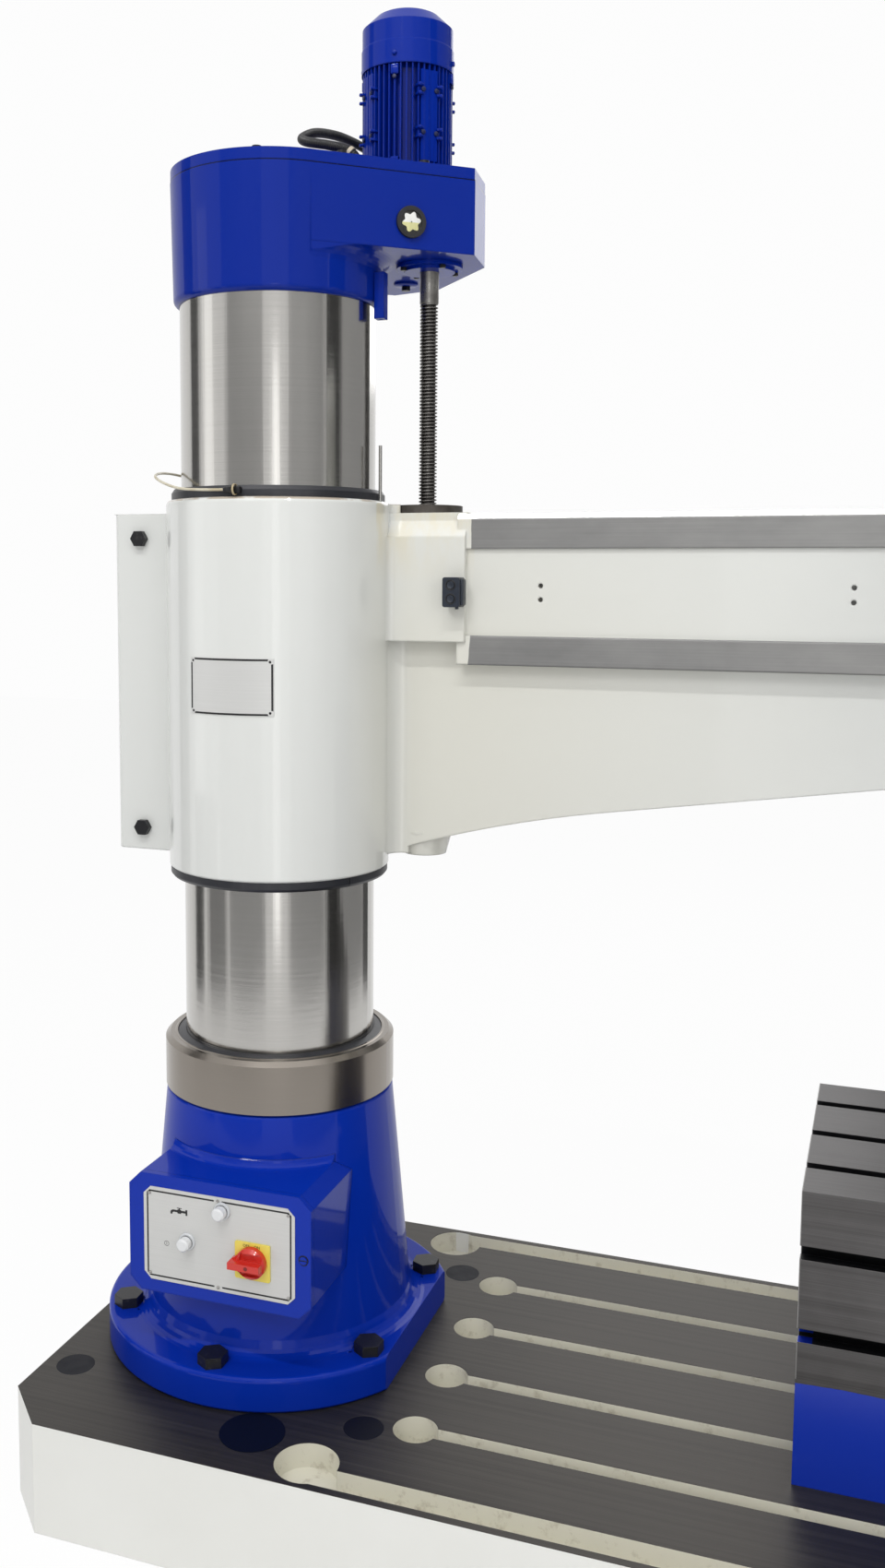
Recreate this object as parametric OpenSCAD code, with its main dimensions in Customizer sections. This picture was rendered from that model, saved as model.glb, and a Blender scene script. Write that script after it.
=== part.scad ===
/* [Base] */
// Length of the base plate along the arm at rest
base_len = 2400; // [2300:10:2500]
// Width of the base plate
base_w = 932; // [924:2:960]
// Height of the base plate above the floor
base_h = 195; // [180:1:210]
// Distance from the left end of the base to the column axis
base_left = 336; // [334:1:345]
// Leg of the corner chamfers in plan
base_chamfer = 88; // [60:1:95]
// Distance between neighbouring T-slots of the base
slot_pitch = 172; // [168:1:176]
// Throat width of the T-slots of the base
slot_w = 28; // [22:1:30]
// Distance from the column axis to the round entry pockets of the T-slots
slot_start = 361; // [356:1:370]

/* [Pedestal] */
// Radius of the foot flange
flange_r = 324; // [320:1:328]
// Thickness of the foot flange
flange_t = 62; // [56:1:66]
// Radius of the bolt circle
bolt_circle_r = 288; // [284:1:290]
// Radius of the cone where it meets the flange
cone_r = 249; // [245:1:251]
// Radius of the cone under the clamp ring
cone_top_r = 211; // [209:1:212]
// Height of the cone top above the base plate
cone_h = 477; // [470:1:480]

/* [Column] */
// Outer diameter of the swivelling column
column_d = 350; // [350:1:350]
// Outer diameter of the clamp ring at the column foot
ring_d = 426; // [420:1:430]
// Height of the clamp ring
ring_h = 98; // [90:1:98]

/* [Lift gearbox] */
// Direction of the overhang seen from above, from the arm
gearbox_angle = 41; // [38:1:44]
// Radius of the round end over the column
gearbox_r = 189.5; // [188:0.5:191]
// Length from the column axis to the end face
gearbox_reach = 356; // [352:1:360]
// Height of the overhanging body above its underside
gearbox_h = 126; // [120:1:130]
// Thickness of the cover plate
cover_t = 20; // [18:1:22]

/* [Lift screw] */
// Distance of the lift screw from the column axis along the arm
screw_x = 248; // [247:1:249]
// Distance of the lift screw behind the column axis
screw_y = 110; // [109:1:111]
// Outer diameter of the lift screw
screw_d = 33; // [32:1:34]

/* [Arm] */
// Outer radius of the sleeve round the column
sleeve_r = 202.5; // [202:0.5:204]
// Height of the sleeve
sleeve_h = 660; // [655:1:665]
// Height of the sleeve's lower edge above the floor
sleeve_z = 1085; // [1080:1:1090]
// Distance from the column axis to the free end of the arm
arm_end = 2020; // [2015:5:2040]
// Distance of the guideway faces behind the column axis
rail_y = 30; // [28:1:32]
// Height of each guideway face
rail_h = 52; // [48:1:54]

/* [Head] */
// Distance of the spindle from the column axis with the head at rest
head_x = 1400; // [1380:5:1420]
// Distance of the spindle in front of the column axis
spindle_y = -150; // [-155:1:-145]
// Quill diameter
quill_d = 100; // [96:1:104]

/* [Box table] */
// Distance of the table's near end from the column axis
table_x = 962; // [955:1:970]
// Length of the table along the arm
table_len = 630; // [600:10:640]
// Depth of the table across the base
table_w = 500; // [490:2:510]
// Height of the table
table_h = 480; // [470:1:490]

/* [Hidden] */

$fn = 96;
eps = 0.01;
blue = [0.07, 0.17, 0.55];
cream = [0.92, 0.92, 0.88];
iron = [0.36, 0.35, 0.34];
steel = [0.62, 0.61, 0.59];
black = [0.1, 0.1, 0.11];
white = [0.93, 0.93, 0.93];

// Base plate values
base_right = base_len - base_left;
slot_depth = 52;
slot_foot_w = 46;
slot_foot_h = 20;
entry_r = 38;
gutter_w = 46;
gutter_depth = 34;
gutter_y = 429;
pocket_x = 226;
pocket_y = 404;
pocket_r = 53;
pocket_depth = 42;
plug_x = 278;
plug_y = 284;
plug_r = 34;
plug_t = 8;
tank_x = 109;
tank_y = -360;
tank_r = 55;
rib_t = 25;
rib_h = 115;
bays_along = 10;
bays_across = 4;
bay_x = -base_left + 34;
bay_along = (base_len - 68 + rib_t) / bays_along;
bay_across = (base_w - 132) / bays_across;

// Pedestal values
foot_z = base_h + flange_t;
cone_z = base_h + cone_h;
cone_fillet = 26;
bolt_angles = [33.5, 90, 146.5, 213.5, 270, 326.5];
bolt_af = 46;
bolt_r = 15;
flat_x = 276;
inner_r = 140;
inner_top = 2060;

// Electrical box values
box_left = -153;
box_right = 190;
box_bottom = 373;
box_top = 585;
box_front = -288;
box_corner = 22;
box_round = 16;
door_t = 12;
door_front = box_front - door_t;
panel_left = -124;
panel_right = 161;
panel_bottom = 396;
panel_top = 563;
panel_t = 1.5;
button_r = 11.5;
upper_button_x = 27;
upper_button_z = 540;
lower_button_x = -40;
lower_button_z = 475;
switch_x = 84;
switch_z = 461;
switch_w = 65;
lock_x = 176;
lock_z = 477;

// Column values
column_r = column_d / 2;
column_bore_r = 150;
ring_z = cone_z + 1;
ring_top = ring_z + ring_h;
column_top = 2150;
key_w = 22;
key_d = 8;

// Lift gearbox values
skirt_z = 2085;
gearbox_z = 2167;
cover_z = gearbox_z + gearbox_h;
lid_top = cover_z + cover_t;
wall = 14;
corner_back = 83;
corner_along = 58;
overhang_round = 24;
motor_reach = 246.7;
motor_x = motor_reach * cos(gearbox_angle);
motor_y = motor_reach * sin(gearbox_angle);
motor_flange_h = 22;
motor_body_z = lid_top + motor_flange_h;
motor_body_top = 2523;
motor_core_r = 69;
motor_fin_r = 82;
pad_angles = [-42, 48, 138, 228];
pad_w = 33;
lug_z = [2397, 2470];
cowl_top = 2618;
gear_module = 3;
gear_teeth = 40;
pinion_teeth = 14;
gear_z = 2220;
gear_w = 26;
screw_r = screw_d / 2;
screw_bottom = 1345;
screw_top = 2270;
cap_z = 2155;

// Arm values
sleeve_top = sleeve_z + sleeve_h;
sleeve_round = 9;
boss_top = 1725;
arm_top = 1722;
upper_rail_z = 1661;
lower_rail_z = 1457;
web_y = rail_y + 6;
low_web_y = 60;
arm_back = 200;
rail_start = 355;
groove_y = 62;
groove_w = 50;
groove_depth = 30;
boss_y = 24;
boss_left = 190;
boss_right = 346;
boss_bottom = 1497;
boss_step = 1683;
nut_r = 64;
nut_t = 15;
ear_left = -309;
ear_half = 55;
ear_bottom = 1100;
ear_top = 1724;
ear_bolt_x = -254;
ear_bolts_z = [1142, 1679];
hole_x = [480, 998];
hole_z = [1573, 1597];
rod_x = 196;
rod_r = 3;

// Head values, measured from the spindle along the arm
head_left = head_x - 165;
head_right = head_x + 235;
head_front = -330;
head_bottom = 1300;
head_top = 1790;
nose_bottom = 1235;
nose_r = 76;
quill_r = quill_d / 2;
quill_bottom = 1130;
quill_len = 560;
spindle_bottom = 1105;
spindle_r = 36;
handwheel_x = head_x - 95;
handwheel_z = 1560;
handwheel_r = 80;
pinion_x = head_x + 60;
feed_x = head_x + 120;
feed_z = 1400;
dial_x = head_x - 60;
dial_z = 1716;
lever_x = head_x - 105;
lever_z = 1390;
start_x = head_x + 90;
stop_x = head_x + 150;
buttons_z = 1690;

// Plain forms that several pieces share
module ring(r, bore, h) {
  difference() {
    cylinder(r = r, h = h);
    translate([0, 0, -1]) cylinder(r = bore, h = h + 2);
  }
}

module hex_head(af, h) {
  cylinder(r = af / sqrt(3), h = h, $fn = 6);
}

// A plate in the XZ plane, its front face at y and its back face t further on
module upright(y, t) {
  translate([0, y + t, 0]) rotate([90, 0, 0]) linear_extrude(t) children();
}

module chamfered(x0, z0, x1, z1, c) {
  polygon([
    [x0 + c, z0], [x1 - c, z0], [x1, z0 + c], [x1, z1 - c],
    [x1 - c, z1], [x0 + c, z1], [x0, z1 - c], [x0, z0 + c]
  ]);
}

module rounded(x0, y0, x1, y1, r) {
  translate([x0 + r, y0]) square([x1 - x0 - 2 * r, y1 - y0]);
  translate([x0, y0 + r]) square([x1 - x0, y1 - y0 - 2 * r]);
  for (x = [x0 + r, x1 - r], y = [y0 + r, y1 - r]) {
    translate([x, y]) circle(r = r);
  }
}

// Trapezoid teeth round a pitch circle
function tooth_ring(m, n, root, tip) = [
  for (i = [0:n - 1], s = [[-0.32, root], [-0.13, tip], [0.13, tip], [0.32, root]])
    let (a = 360 * (i + s[0]) / n, r = m * n / 2 + s[1] * m) [r * cos(a), r * sin(a)]
];

module gear(m, n, w) {
  linear_extrude(w) polygon(tooth_ring(m, n, -1.2, 0.9));
}

// A smooth curve through hand-picked points, with an even number of steps of about the given length
// between each two of them
function spline(p, step) = [
  for (i = [0:len(p) - 2])
    let (
      a = p[max(i - 1, 0)], b = p[i], c = p[i + 1], d = p[min(i + 2, len(p) - 1)],
      n = 2 * max(1, round(norm(c - b) / (2 * step)))
    )
      for (t = [0:1 / n:1 - 0.5 / n])
        0.5 * (2 * b + (c - a) * t + (2 * a - 5 * b + 4 * c - d) * pow(t, 2)
          + (3 * b - a - 3 * c + d) * pow(t, 3)),
  p[len(p) - 1]
];
function unit(v) = v / norm(v);
function heading(p, i) = unit(p[min(i + 1, len(p) - 1)] - p[max(i - 1, 0)]);
function level_side(t) = unit(cross(t, [0.1, 0.2, 1]));
function hoop(c, t, r, n) = let (u = level_side(t), v = cross(u, t)) [
  for (k = [0:n - 1]) c + r * (cos(360 * k / n) * u + sin(360 * k / n) * v)
];

function hoops(path, radii, n) = [
  for (i = [0:len(path) - 1]) each hoop(path[i], heading(path, i), radii[i], n)
];

// Triangles between neighbouring hoops of n points, the first of them at point o
function skin(hoop_count, n, o) = [
  for (i = [0:hoop_count - 2], k = [0:n - 1])
    let (a = o + i * n + k, b = o + i * n + (k + 1) % n)
      each [[a, b, b + n], [a, b + n, a + n]]
];

// One closed tube over a list of centres, with its own radius at each centre
module tube(path, radii, n) {
  first = [for (k = [1:n - 2]) [0, k + 1, k]];
  last = [for (k = [1:n - 2]) let (o = (len(path) - 1) * n) [o, o + k, o + k + 1]];
  polyhedron(hoops(path, radii, n), concat(skin(len(path), n, 0), first, last));
}

// A hose with its bore: the outer skin follows every centre, the bore every bore_step-th one
module bored_tube(path, radii, bore_r, bore_step, n) {
  count = len(path);
  stops = [for (i = [0:bore_step:count - 1 - bore_step]) i];
  bore_at = concat(stops, [count - 1]);
  inner = [for (i = bore_at) each hoop(path[i], heading(path, i), bore_r, n)];
  o = count * n;
  rim = [
    for (k = [0:n - 1]) let (l = (k + 1) % n, a = o - n, b = o + (len(bore_at) - 1) * n)
      each [[o + k, l, k], [o + k, o + l, l], [a + k, a + l, b + k], [a + l, b + l, b + k]]
  ];
  bore = [for (f = skin(len(bore_at), n, o)) [f[0], f[2], f[1]]];
  polyhedron(concat(hoops(path, radii, n), inner), concat(skin(count, n, 0), bore, rim));
}

// Base plate with slots, gutters, pockets and a ribbed hollow underside
module t_slot(len, throat, throat_h, foot, foot_h) {
  translate([0, -throat / 2, -throat_h - foot_h]) cube([len, throat, throat_h + foot_h + 1]);
  translate([0, -foot / 2, -throat_h - foot_h]) cube([len, foot, foot_h]);
}

module base_outline() {
  c = base_chamfer;
  half = base_w / 2;
  polygon([
    [-base_left + c, -half], [base_right - c, -half], [base_right, -half + c],
    [base_right, half - c], [base_right - c, half], [-base_left + c, half],
    [-base_left, half - c], [-base_left, -half + c]
  ]);
}

module base_plate() {
  color(iron) difference() {
    linear_extrude(base_h) base_outline();
    for (k = [-1.5:1.5]) {
      translate([slot_start, k * slot_pitch, base_h])
        t_slot(base_right, slot_w, slot_depth - slot_foot_h, slot_foot_w, slot_foot_h);
      translate([slot_start, k * slot_pitch, base_h - slot_depth])
        cylinder(r = entry_r, h = slot_depth + 1);
    }
    for (s = [-1, 1]) {
      translate([pocket_x, s * gutter_y - gutter_w / 2, base_h - gutter_depth])
        cube([base_right - 60 - pocket_x, gutter_w, gutter_depth + 1]);
      translate([pocket_x, s * pocket_y, base_h - pocket_depth])
        cylinder(r = pocket_r, h = pocket_depth + 1);
      for (x = [-plug_x, plug_x]) {
        translate([x, s * plug_y, base_h - plug_t]) cylinder(r = plug_r, h = plug_t + 1);
        translate([x, s * plug_y, 1]) cylinder(r = 15, h = base_h);
      }
    }
    translate([tank_x, tank_y, base_h - 6]) cylinder(r = tank_r, h = 7);
    for (a = bolt_angles) {
      rotate(a) translate([bolt_circle_r, 0, base_h - 60]) cylinder(r = bolt_r + 1, h = 61);
    }
    for (i = [0:bays_along - 1], k = [0:bays_across - 1]) {
      translate([bay_x + i * bay_along, (k - bays_across / 2) * bay_across + rib_t / 2, -1])
        cube([bay_along - rib_t, bay_across - rib_t, rib_h + 1]);
    }
  }
}

module foundation_plugs() {
  color(black) for (x = [-plug_x, plug_x], y = [-plug_y, plug_y]) {
    translate([x, y, base_h - plug_t]) cylinder(r = plug_r, h = plug_t);
  }
}

module tank_cover() {
  color(black) translate([tank_x, tank_y, base_h - 6]) cylinder(r = tank_r, h = 6.5);
}

// Pedestal: round foot with one flat side, fillet and cone
function cone_r_at(z) = cone_r + (cone_top_r - cone_r) * (z - foot_z) / (cone_z - foot_z);

module pedestal_profile() {
  foot = cone_r + cone_fillet;
  polygon(concat(
    [[inner_r, base_h], [flange_r - 4, base_h], [flange_r, base_h + 4], [flange_r, foot_z - 8]],
    [for (a = [15:15:75]) [flange_r - 8 + 8 * cos(a), foot_z - 8 + 8 * sin(a)]],
    [[flange_r - 8, foot_z]],
    [for (a = [270:-15:195]) [foot + cone_fillet * cos(a), foot_z + cone_fillet + cone_fillet * sin(a)]],
    [[cone_r_at(foot_z + cone_fillet), foot_z + cone_fillet], [cone_r_at(cone_z - 4), cone_z - 4]],
    [[cone_top_r - 1.2, cone_z - 1.2], [cone_top_r - 4, cone_z], [inner_r, cone_z]]
  ));
}

module pedestal() {
  color(blue) difference() {
    rotate_extrude() pedestal_profile();
    translate([flat_x, -300, base_h - 1]) cube([100, 600, flange_t + 2]);
    for (a = bolt_angles) {
      rotate(a) translate([bolt_circle_r, 0, base_h - 1]) cylinder(r = bolt_r + 1, h = flange_t + 2);
      rotate(a) translate([bolt_circle_r, 0, foot_z]) cylinder(r = 30, h = 60);
    }
  }
}

module pedestal_bolts() {
  color(black) for (a = bolt_angles) {
    rotate(a) translate([bolt_circle_r, 0, 0]) {
      translate([0, 0, base_h - 55]) cylinder(r = bolt_r, h = flange_t + 60);
      translate([0, 0, foot_z]) hex_head(bolt_af, 19);
    }
  }
}

module inner_column() {
  color(steel) difference() {
    translate([0, 0, base_h]) cylinder(r = inner_r, h = inner_top - base_h);
    translate([0, 0, base_h + 40]) cylinder(r = inner_r - 28, h = inner_top);
  }
}

module column_bearings() {
  color(steel) for (z = [cone_z + 30, 1960]) {
    translate([0, 0, z]) ring(column_bore_r - 0.05, inner_r, 46);
  }
}

// Electrical box cut to sit on the cone, with a shallow space behind its door
module electrical_box() {
  color(blue) difference() {
    union() {
      upright(box_front, 200) chamfered(box_left, box_bottom, box_right, box_top, box_corner);
      intersection() {
        rotate_extrude() polygon(concat(
          [[150, box_top - 2], [cone_r_at(box_top) + box_round, box_top - 2]],
          [
            for (a = [0:15:75])
              [cone_r_at(box_top) + box_round * (1 - sin(a)), box_top + box_round * (1 - cos(a))]
          ],
          [[cone_r_at(box_top + box_round) - 2, box_top + box_round], [150, box_top + box_round]]
        ));
        translate([box_left + box_corner, -280, box_top - 2])
          cube([box_right - box_left - 2 * box_corner, 200, box_round + 3]);
      }
    }
    translate([0, 0, foot_z]) cylinder(r1 = cone_r, r2 = cone_top_r, h = cone_z - foot_z);
    upright(box_front - 1, 41)
      chamfered(box_left + 6, box_bottom + 6, box_right - 6, box_top - 6, box_corner - 2);
  }
}

module box_door() {
  color(blue) difference() {
    upright(door_front, door_t - 0.3)
      chamfered(box_left, box_bottom, box_right, box_top, box_corner);
    translate([switch_x, door_front - 1, switch_z]) rotate([-90, 0, 0]) cylinder(r = 8.05, h = 20);
    for (p = [[upper_button_x, upper_button_z], [lower_button_x, lower_button_z]]) {
      translate([p[0], door_front - 1, p[1]]) rotate([-90, 0, 0]) cylinder(r = 9.05, h = 20);
    }
    translate([lock_x, door_front - 1, lock_z]) rotate([-90, 0, 0]) cylinder(r = 7.05, h = 20);
  }
}

module panel_plate() {
  color([0.75, 0.75, 0.74]) difference() {
    upright(door_front - panel_t, panel_t)
      chamfered(panel_left, panel_bottom, panel_right, panel_top, 13);
    translate([switch_x, door_front - 5, switch_z]) rotate([-90, 0, 0]) cylinder(r = 8.05, h = 10);
    for (p = [[upper_button_x, upper_button_z], [lower_button_x, lower_button_z]]) {
      translate([p[0], door_front - 5, p[1]]) rotate([-90, 0, 0]) cylinder(r = 9.05, h = 10);
    }
  }
}

module switch_plate() {
  half = switch_w / 2;
  y = door_front - panel_t - 3;
  color([0.93, 0.83, 0.2]) difference() {
    upright(y, 3) rounded(switch_x - half, switch_z - half, switch_x + half, switch_z + half, 3);
    translate([switch_x, y - 1, switch_z]) rotate([-90, 0, 0]) cylinder(r = 8.05, h = 5);
  }
}

module switch_handle() {
  y = door_front - panel_t - 3.3;
  color([0.8, 0.08, 0.06]) translate([switch_x, y, switch_z]) rotate([90, 0, 0]) {
    translate([0, 0, -26]) cylinder(r = 8, h = 27);
    difference() {
      union() {
        cylinder(r = 27, h = 9);
        translate([0, 0, 9]) cylinder(r1 = 27, r2 = 22, h = 6);
        linear_extrude(12) polygon([[-36, -3], [-20, -16], [-20, 16], [-36, 3]]);
      }
      for (s = [-1, 1]) translate([-17, s * 13.5 - 6, 9]) cube([40, 12, 10]);
    }
    translate([-34, -6, 0]) cube([58, 12, 27]);
  }
}

module push_button(x, z) {
  color(white) translate([x, door_front, z]) rotate([90, 0, 0]) {
    translate([0, 0, -20]) cylinder(r = 9, h = 24);
    translate([0, 0, 7.8]) cylinder(r = button_r, h = 12);
    translate([0, 0, 3]) cylinder(r = 9, h = 6);
    translate([0, 0, 19.8]) cylinder(r1 = button_r, r2 = button_r - 3, h = 2.4);
  }
}

module upper_button() {
  push_button(upper_button_x, upper_button_z);
}

module lower_button() {
  push_button(lower_button_x, lower_button_z);
}

module door_lock() {
  color(black) translate([lock_x, door_front, lock_z]) rotate([90, 0, 0]) difference() {
    union() {
      translate([0, 0, -18]) cylinder(r = 7, h = 20);
      translate([-6.5, -4, -22]) cube([13, 8, 5]);
    }
    translate([-8, -1, 0.6]) cube([16, 2, 3]);
  }
}

// Box table: hollow casting with T-slots on its top and front
module box_table() {
  y0 = -190;
  top = base_h + table_h;
  mid = y0 + table_w / 2;
  color(iron) difference() {
    translate([table_x, y0, base_h]) cube([table_len, table_w, table_h]);
    translate([table_x + 58, y0 + 60, base_h - 1]) cube([table_len - 116, table_w - 110, table_h - 79]);
    for (k = [-1:1]) {
      translate([table_x - 1, mid + 145.5 * k, top]) t_slot(table_len + 2, 22, 20, 37, 16);
    }
    for (z = [base_h + 247, base_h + 381]) {
      translate([table_x - 1, y0, z]) rotate([90, 0, 0]) t_slot(table_len + 2, 22, 20, 37, 16);
    }
    for (x = [table_x - 1, table_x + table_len - 44], y = [-86, 86]) {
      translate([x, y - 24, base_h + 30]) cube([45, 48, 60]);
      translate([x + (x < table_x ? 23 : 22), y, base_h - 1]) cylinder(r = 12.5, h = 40);
    }
  }
}

module table_bolts() {
  color(black) for (x = [table_x + 22, table_x + table_len - 22], y = [-86, 86]) {
    translate([x, y, base_h]) {
      translate([0, 0, -slot_depth + 1]) hex_head(36, 17);
      translate([0, 0, -slot_depth + 10]) cylinder(r = 12, h = slot_depth + 54);
      translate([0, 0, 30]) cylinder(r = 21, h = 4);
      translate([0, 0, 34]) hex_head(36, 19);
    }
  }
}

// Swivelling column with its keyway
module outer_column() {
  color(steel) difference() {
    translate([0, 0, ring_z]) cylinder(r = column_r, h = column_top - ring_z);
    translate([0, 0, ring_z - 1]) cylinder(r = column_bore_r, h = column_top);
    translate([-key_w / 2, column_r - key_d, 790]) cube([key_w, 20, skirt_z - 790 - 2]);
  }
}

module clamp_ring() {
  r = ring_d / 2;
  color(steel) difference() {
    translate([0, 0, ring_z]) rotate_extrude() polygon([
      [column_r, 0], [r - 3, 0], [r, 3], [r, ring_h - 9], [r - 9, ring_h - 1], [r - 17, ring_h - 1],
      [r - 19, ring_h], [column_r, ring_h]
    ]);
    translate([0, 0, ring_top - 8]) ring(191, column_r - 1, 9);
    rotate(55) translate([202, 0, ring_top - 12]) cylinder(r = 4, h = 13);
  }
}

module ring_wiper() {
  color(black) translate([0, 0, ring_top - 8]) rotate_extrude()
    polygon([[column_r + 0.2, 0], [191, 0], [191, 6], [186, 8], [column_r + 3, 10], [column_r + 0.2, 10]]);
}

// Plan of the lift gearbox: a round end and a straight body with two cut corners
module gearbox_block(inset) {
  side = gearbox_r - inset - 0.2;
  reach = gearbox_reach - inset;
  polygon([
    [0, -side], [reach - corner_along, -side], [reach, -side + corner_back],
    [reach, side - corner_back], [reach - corner_along, side], [0, side]
  ]);
}

module gearbox_plan(inset) {
  circle(r = gearbox_r - inset, $fn = 160);
  rotate(gearbox_angle) gearbox_block(inset);
}

// Round end of the gearbox: slight draft, rounded lower edge
skirt_r = gearbox_r - 4;
skirt_round = 10;
function skirt_r_at(z) = skirt_r + (gearbox_r - skirt_r) * (z - skirt_z) / (cover_z - skirt_z);

module round_end() {
  rotate_extrude($fn = 160) polygon(concat(
    [[0, skirt_z], [skirt_r - skirt_round, skirt_z]],
    [
      for (a = [15:15:90])
        [skirt_r - skirt_round * (1 - sin(a)), skirt_z + skirt_round * (1 - cos(a))]
    ],
    [[gearbox_r, cover_z], [0, cover_z]]
  ));
}

// Hollow rounding between the round end and the underside of the overhang
module overhang_fillet() {
  low = gearbox_z - overhang_round;
  c = skirt_r_at(low) + overhang_round;
  intersection() {
    rotate_extrude($fn = 160) polygon(concat(
      [[skirt_r - 8, low]],
      [for (a = [0:15:75]) [c - overhang_round * cos(a), low + overhang_round * sin(a)]],
      [[c, gearbox_z], [c, gearbox_z + 2], [skirt_r - 8, gearbox_z + 2]]
    ));
    rotate(gearbox_angle) translate([0, 0, skirt_z])
      linear_extrude(gearbox_z - skirt_z + 2) gearbox_block(0.4);
  }
}

module lift_gearbox() {
  color(blue) difference() {
    union() {
      translate([0, 0, gearbox_z]) linear_extrude(gearbox_h) rotate(gearbox_angle) gearbox_block(0);
      round_end();
      overhang_fillet();
    }
    translate([0, 0, skirt_z - 1]) cylinder(r = column_r, h = column_top - skirt_z + 1);
    translate([0, 0, gearbox_z + wall]) linear_extrude(gearbox_h) gearbox_plan(wall);
    translate([screw_x, screw_y, gearbox_z - 1]) cylinder(r = 40, h = 20);
  }
}

module gearbox_cover() {
  color(blue) difference() {
    union() {
      translate([0, 0, cover_z + 0.4]) linear_extrude(cover_t - 0.4) gearbox_plan(0.6);
      translate([130, 56, lid_top - 1]) cylinder(r = 13, h = 11);
    }
    translate([motor_x, motor_y, cover_z]) cylinder(r = 45, h = cover_t + 1);
  }
}

module cover_screws() {
  places = [
    [-165, 0], [-80, 145], [-80, -145], [60, -172], [60, 172], [210, -172], [210, 172],
    [339, -70], [339, 70]
  ];
  color(black) rotate(gearbox_angle) for (p = places) {
    translate([p[0], p[1], lid_top]) difference() {
      cylinder(r = 8, h = 7);
      translate([0, 0, 3]) hex_head(8, 5);
    }
  }
}

// Lift motor: flange, finned body, cowl, rotor
module lift_motor() {
  body_h = motor_body_top - motor_body_z;
  color(blue) translate([motor_x, motor_y, 0]) difference() {
    union() {
      translate([0, 0, lid_top]) cylinder(r = 100, h = 12);
      translate([0, 0, lid_top + 12]) cylinder(r = motor_core_r + 6, h = motor_flange_h - 12);
      translate([0, 0, motor_body_z]) cylinder(r = motor_core_r, h = motor_body_top - motor_body_z);
      for (k = [0:47]) {
        rotate(k * 7.5 + 3) translate([motor_core_r - 4, -1.3, motor_body_z + 6])
          cube([motor_fin_r - motor_core_r + 4, 2.6, body_h - 12]);
      }
      for (a = pad_angles) rotate(a) {
        translate([motor_core_r - 8, -pad_w / 2, motor_body_z + 14])
          cube([motor_fin_r - motor_core_r + 7, pad_w, body_h - 32]);
        for (z = lug_z, y = [-pad_w / 2, pad_w / 2]) {
          translate([motor_fin_r - 12, y - 5, z - 6]) cube([9, 10, 12]);
        }
      }
      for (a = [-87:90:183], z = [motor_body_z + 6, motor_body_top - 24]) {
        rotate(a) translate([motor_core_r - 4, -7, z]) cube([motor_fin_r - motor_core_r + 5, 14, 14]);
      }
    }
    translate([0, 0, lid_top - 1]) cylinder(r = 16, h = 400);
    for (a = [45:90:315]) rotate(a) translate([88, 0, lid_top - 1]) cylinder(r = 5.5, h = 14);
  }
}

module terminal_box() {
  color(blue) translate([motor_x, motor_y, 0]) rotate(93) {
    translate([motor_fin_r + 0.3, -42, 2370]) cube([52, 84, 90]);
    translate([motor_fin_r + 26, 42, 2412]) rotate([-90, 0, 0]) cylinder(r = 13, h = 14);
  }
}

module fan_cowl() {
  color(blue) translate([motor_x, motor_y, 0]) difference() {
    rotate_extrude() polygon([
      [0, cowl_top], [52, cowl_top], [58, cowl_top - 3], [82.5, cowl_top - 26], [82.5, 2557],
      [84, 2555], [84, motor_body_top - 8], [82.4, motor_body_top - 8], [82.4, 2554], [80.9, 2556],
      [80.9, cowl_top - 26.6], [57.3, cowl_top - 4.8], [51.5, cowl_top - 2], [0, cowl_top - 2]
    ]);
    for (k = [0:15]) rotate(k * 22.5) translate([18, -2, cowl_top - 10]) cube([30, 4, 20]);
  }
}

module motor_rotor() {
  gap_angle = atan2(screw_y - motor_y, screw_x - motor_x) + 180 / pinion_teeth;
  color(steel) translate([motor_x, motor_y, 0]) {
    translate([0, 0, gear_z]) rotate(gap_angle) gear(gear_module, pinion_teeth, gear_w + 4);
    translate([0, 0, gear_z - 14]) cylinder(r = 14, h = 14);
    translate([0, 0, gear_z + 20]) cylinder(r = 14, h = 2590 - gear_z - 20);
    translate([0, 0, 2548]) cylinder(r = 26, h = 16);
    for (k = [0:6]) rotate(k * 360 / 7) translate([20, -1.5, 2536]) cube([48, 3, 44]);
  }
}

// Corrugated conduit from the terminal box round to the cover
conduit_route = [
  [124.5, 266.8, 2412], [106.6, 265.8, 2412], [82, 246, 2419], [62, 212, 2427], [44, 168, 2429],
  [26, 112, 2420], [15, 76, 2402], [32, 56, 2388], [76, 52, 2377], [112, 54, 2366], [128, 56, 2350],
  [130, 56, 2341], [130, 56, 2323]
];
conduit_r = 8.6;
conduit_root_r = 7.4;
conduit_bore_r = 6;
rib_step = 1.8;

module conduit() {
  path = spline(conduit_route, rib_step);
  radii = [for (i = [0:len(path) - 1]) i % 2 == 0 ? conduit_root_r : conduit_r];
  color(black) bored_tube(path, radii, conduit_bore_r, 6, 8);
}

// Fittings of the gearbox
module sight_glass_ring() {
  color(black) rotate(gearbox_angle) translate([178, -gearbox_r, 2211]) rotate([90, 0, 0])
    ring(26.5, 19, 6);
}

module sight_glass() {
  color(white) rotate(gearbox_angle) translate([178, -gearbox_r, 2211]) rotate([90, 0, 0])
    cylinder(r = 19, h = 4);
}

module screw_bearing_cap() {
  color(blue) translate([screw_x, screw_y, 0]) {
    translate([0, 0, cap_z + 5]) ring(60, 17.3, gearbox_z - cap_z - 5);
    translate([0, 0, cap_z]) ring(46, 17.3, 5 + eps);
    translate([0, 0, gearbox_z - eps]) ring(39.9, 17.3, 30);
  }
}

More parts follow.
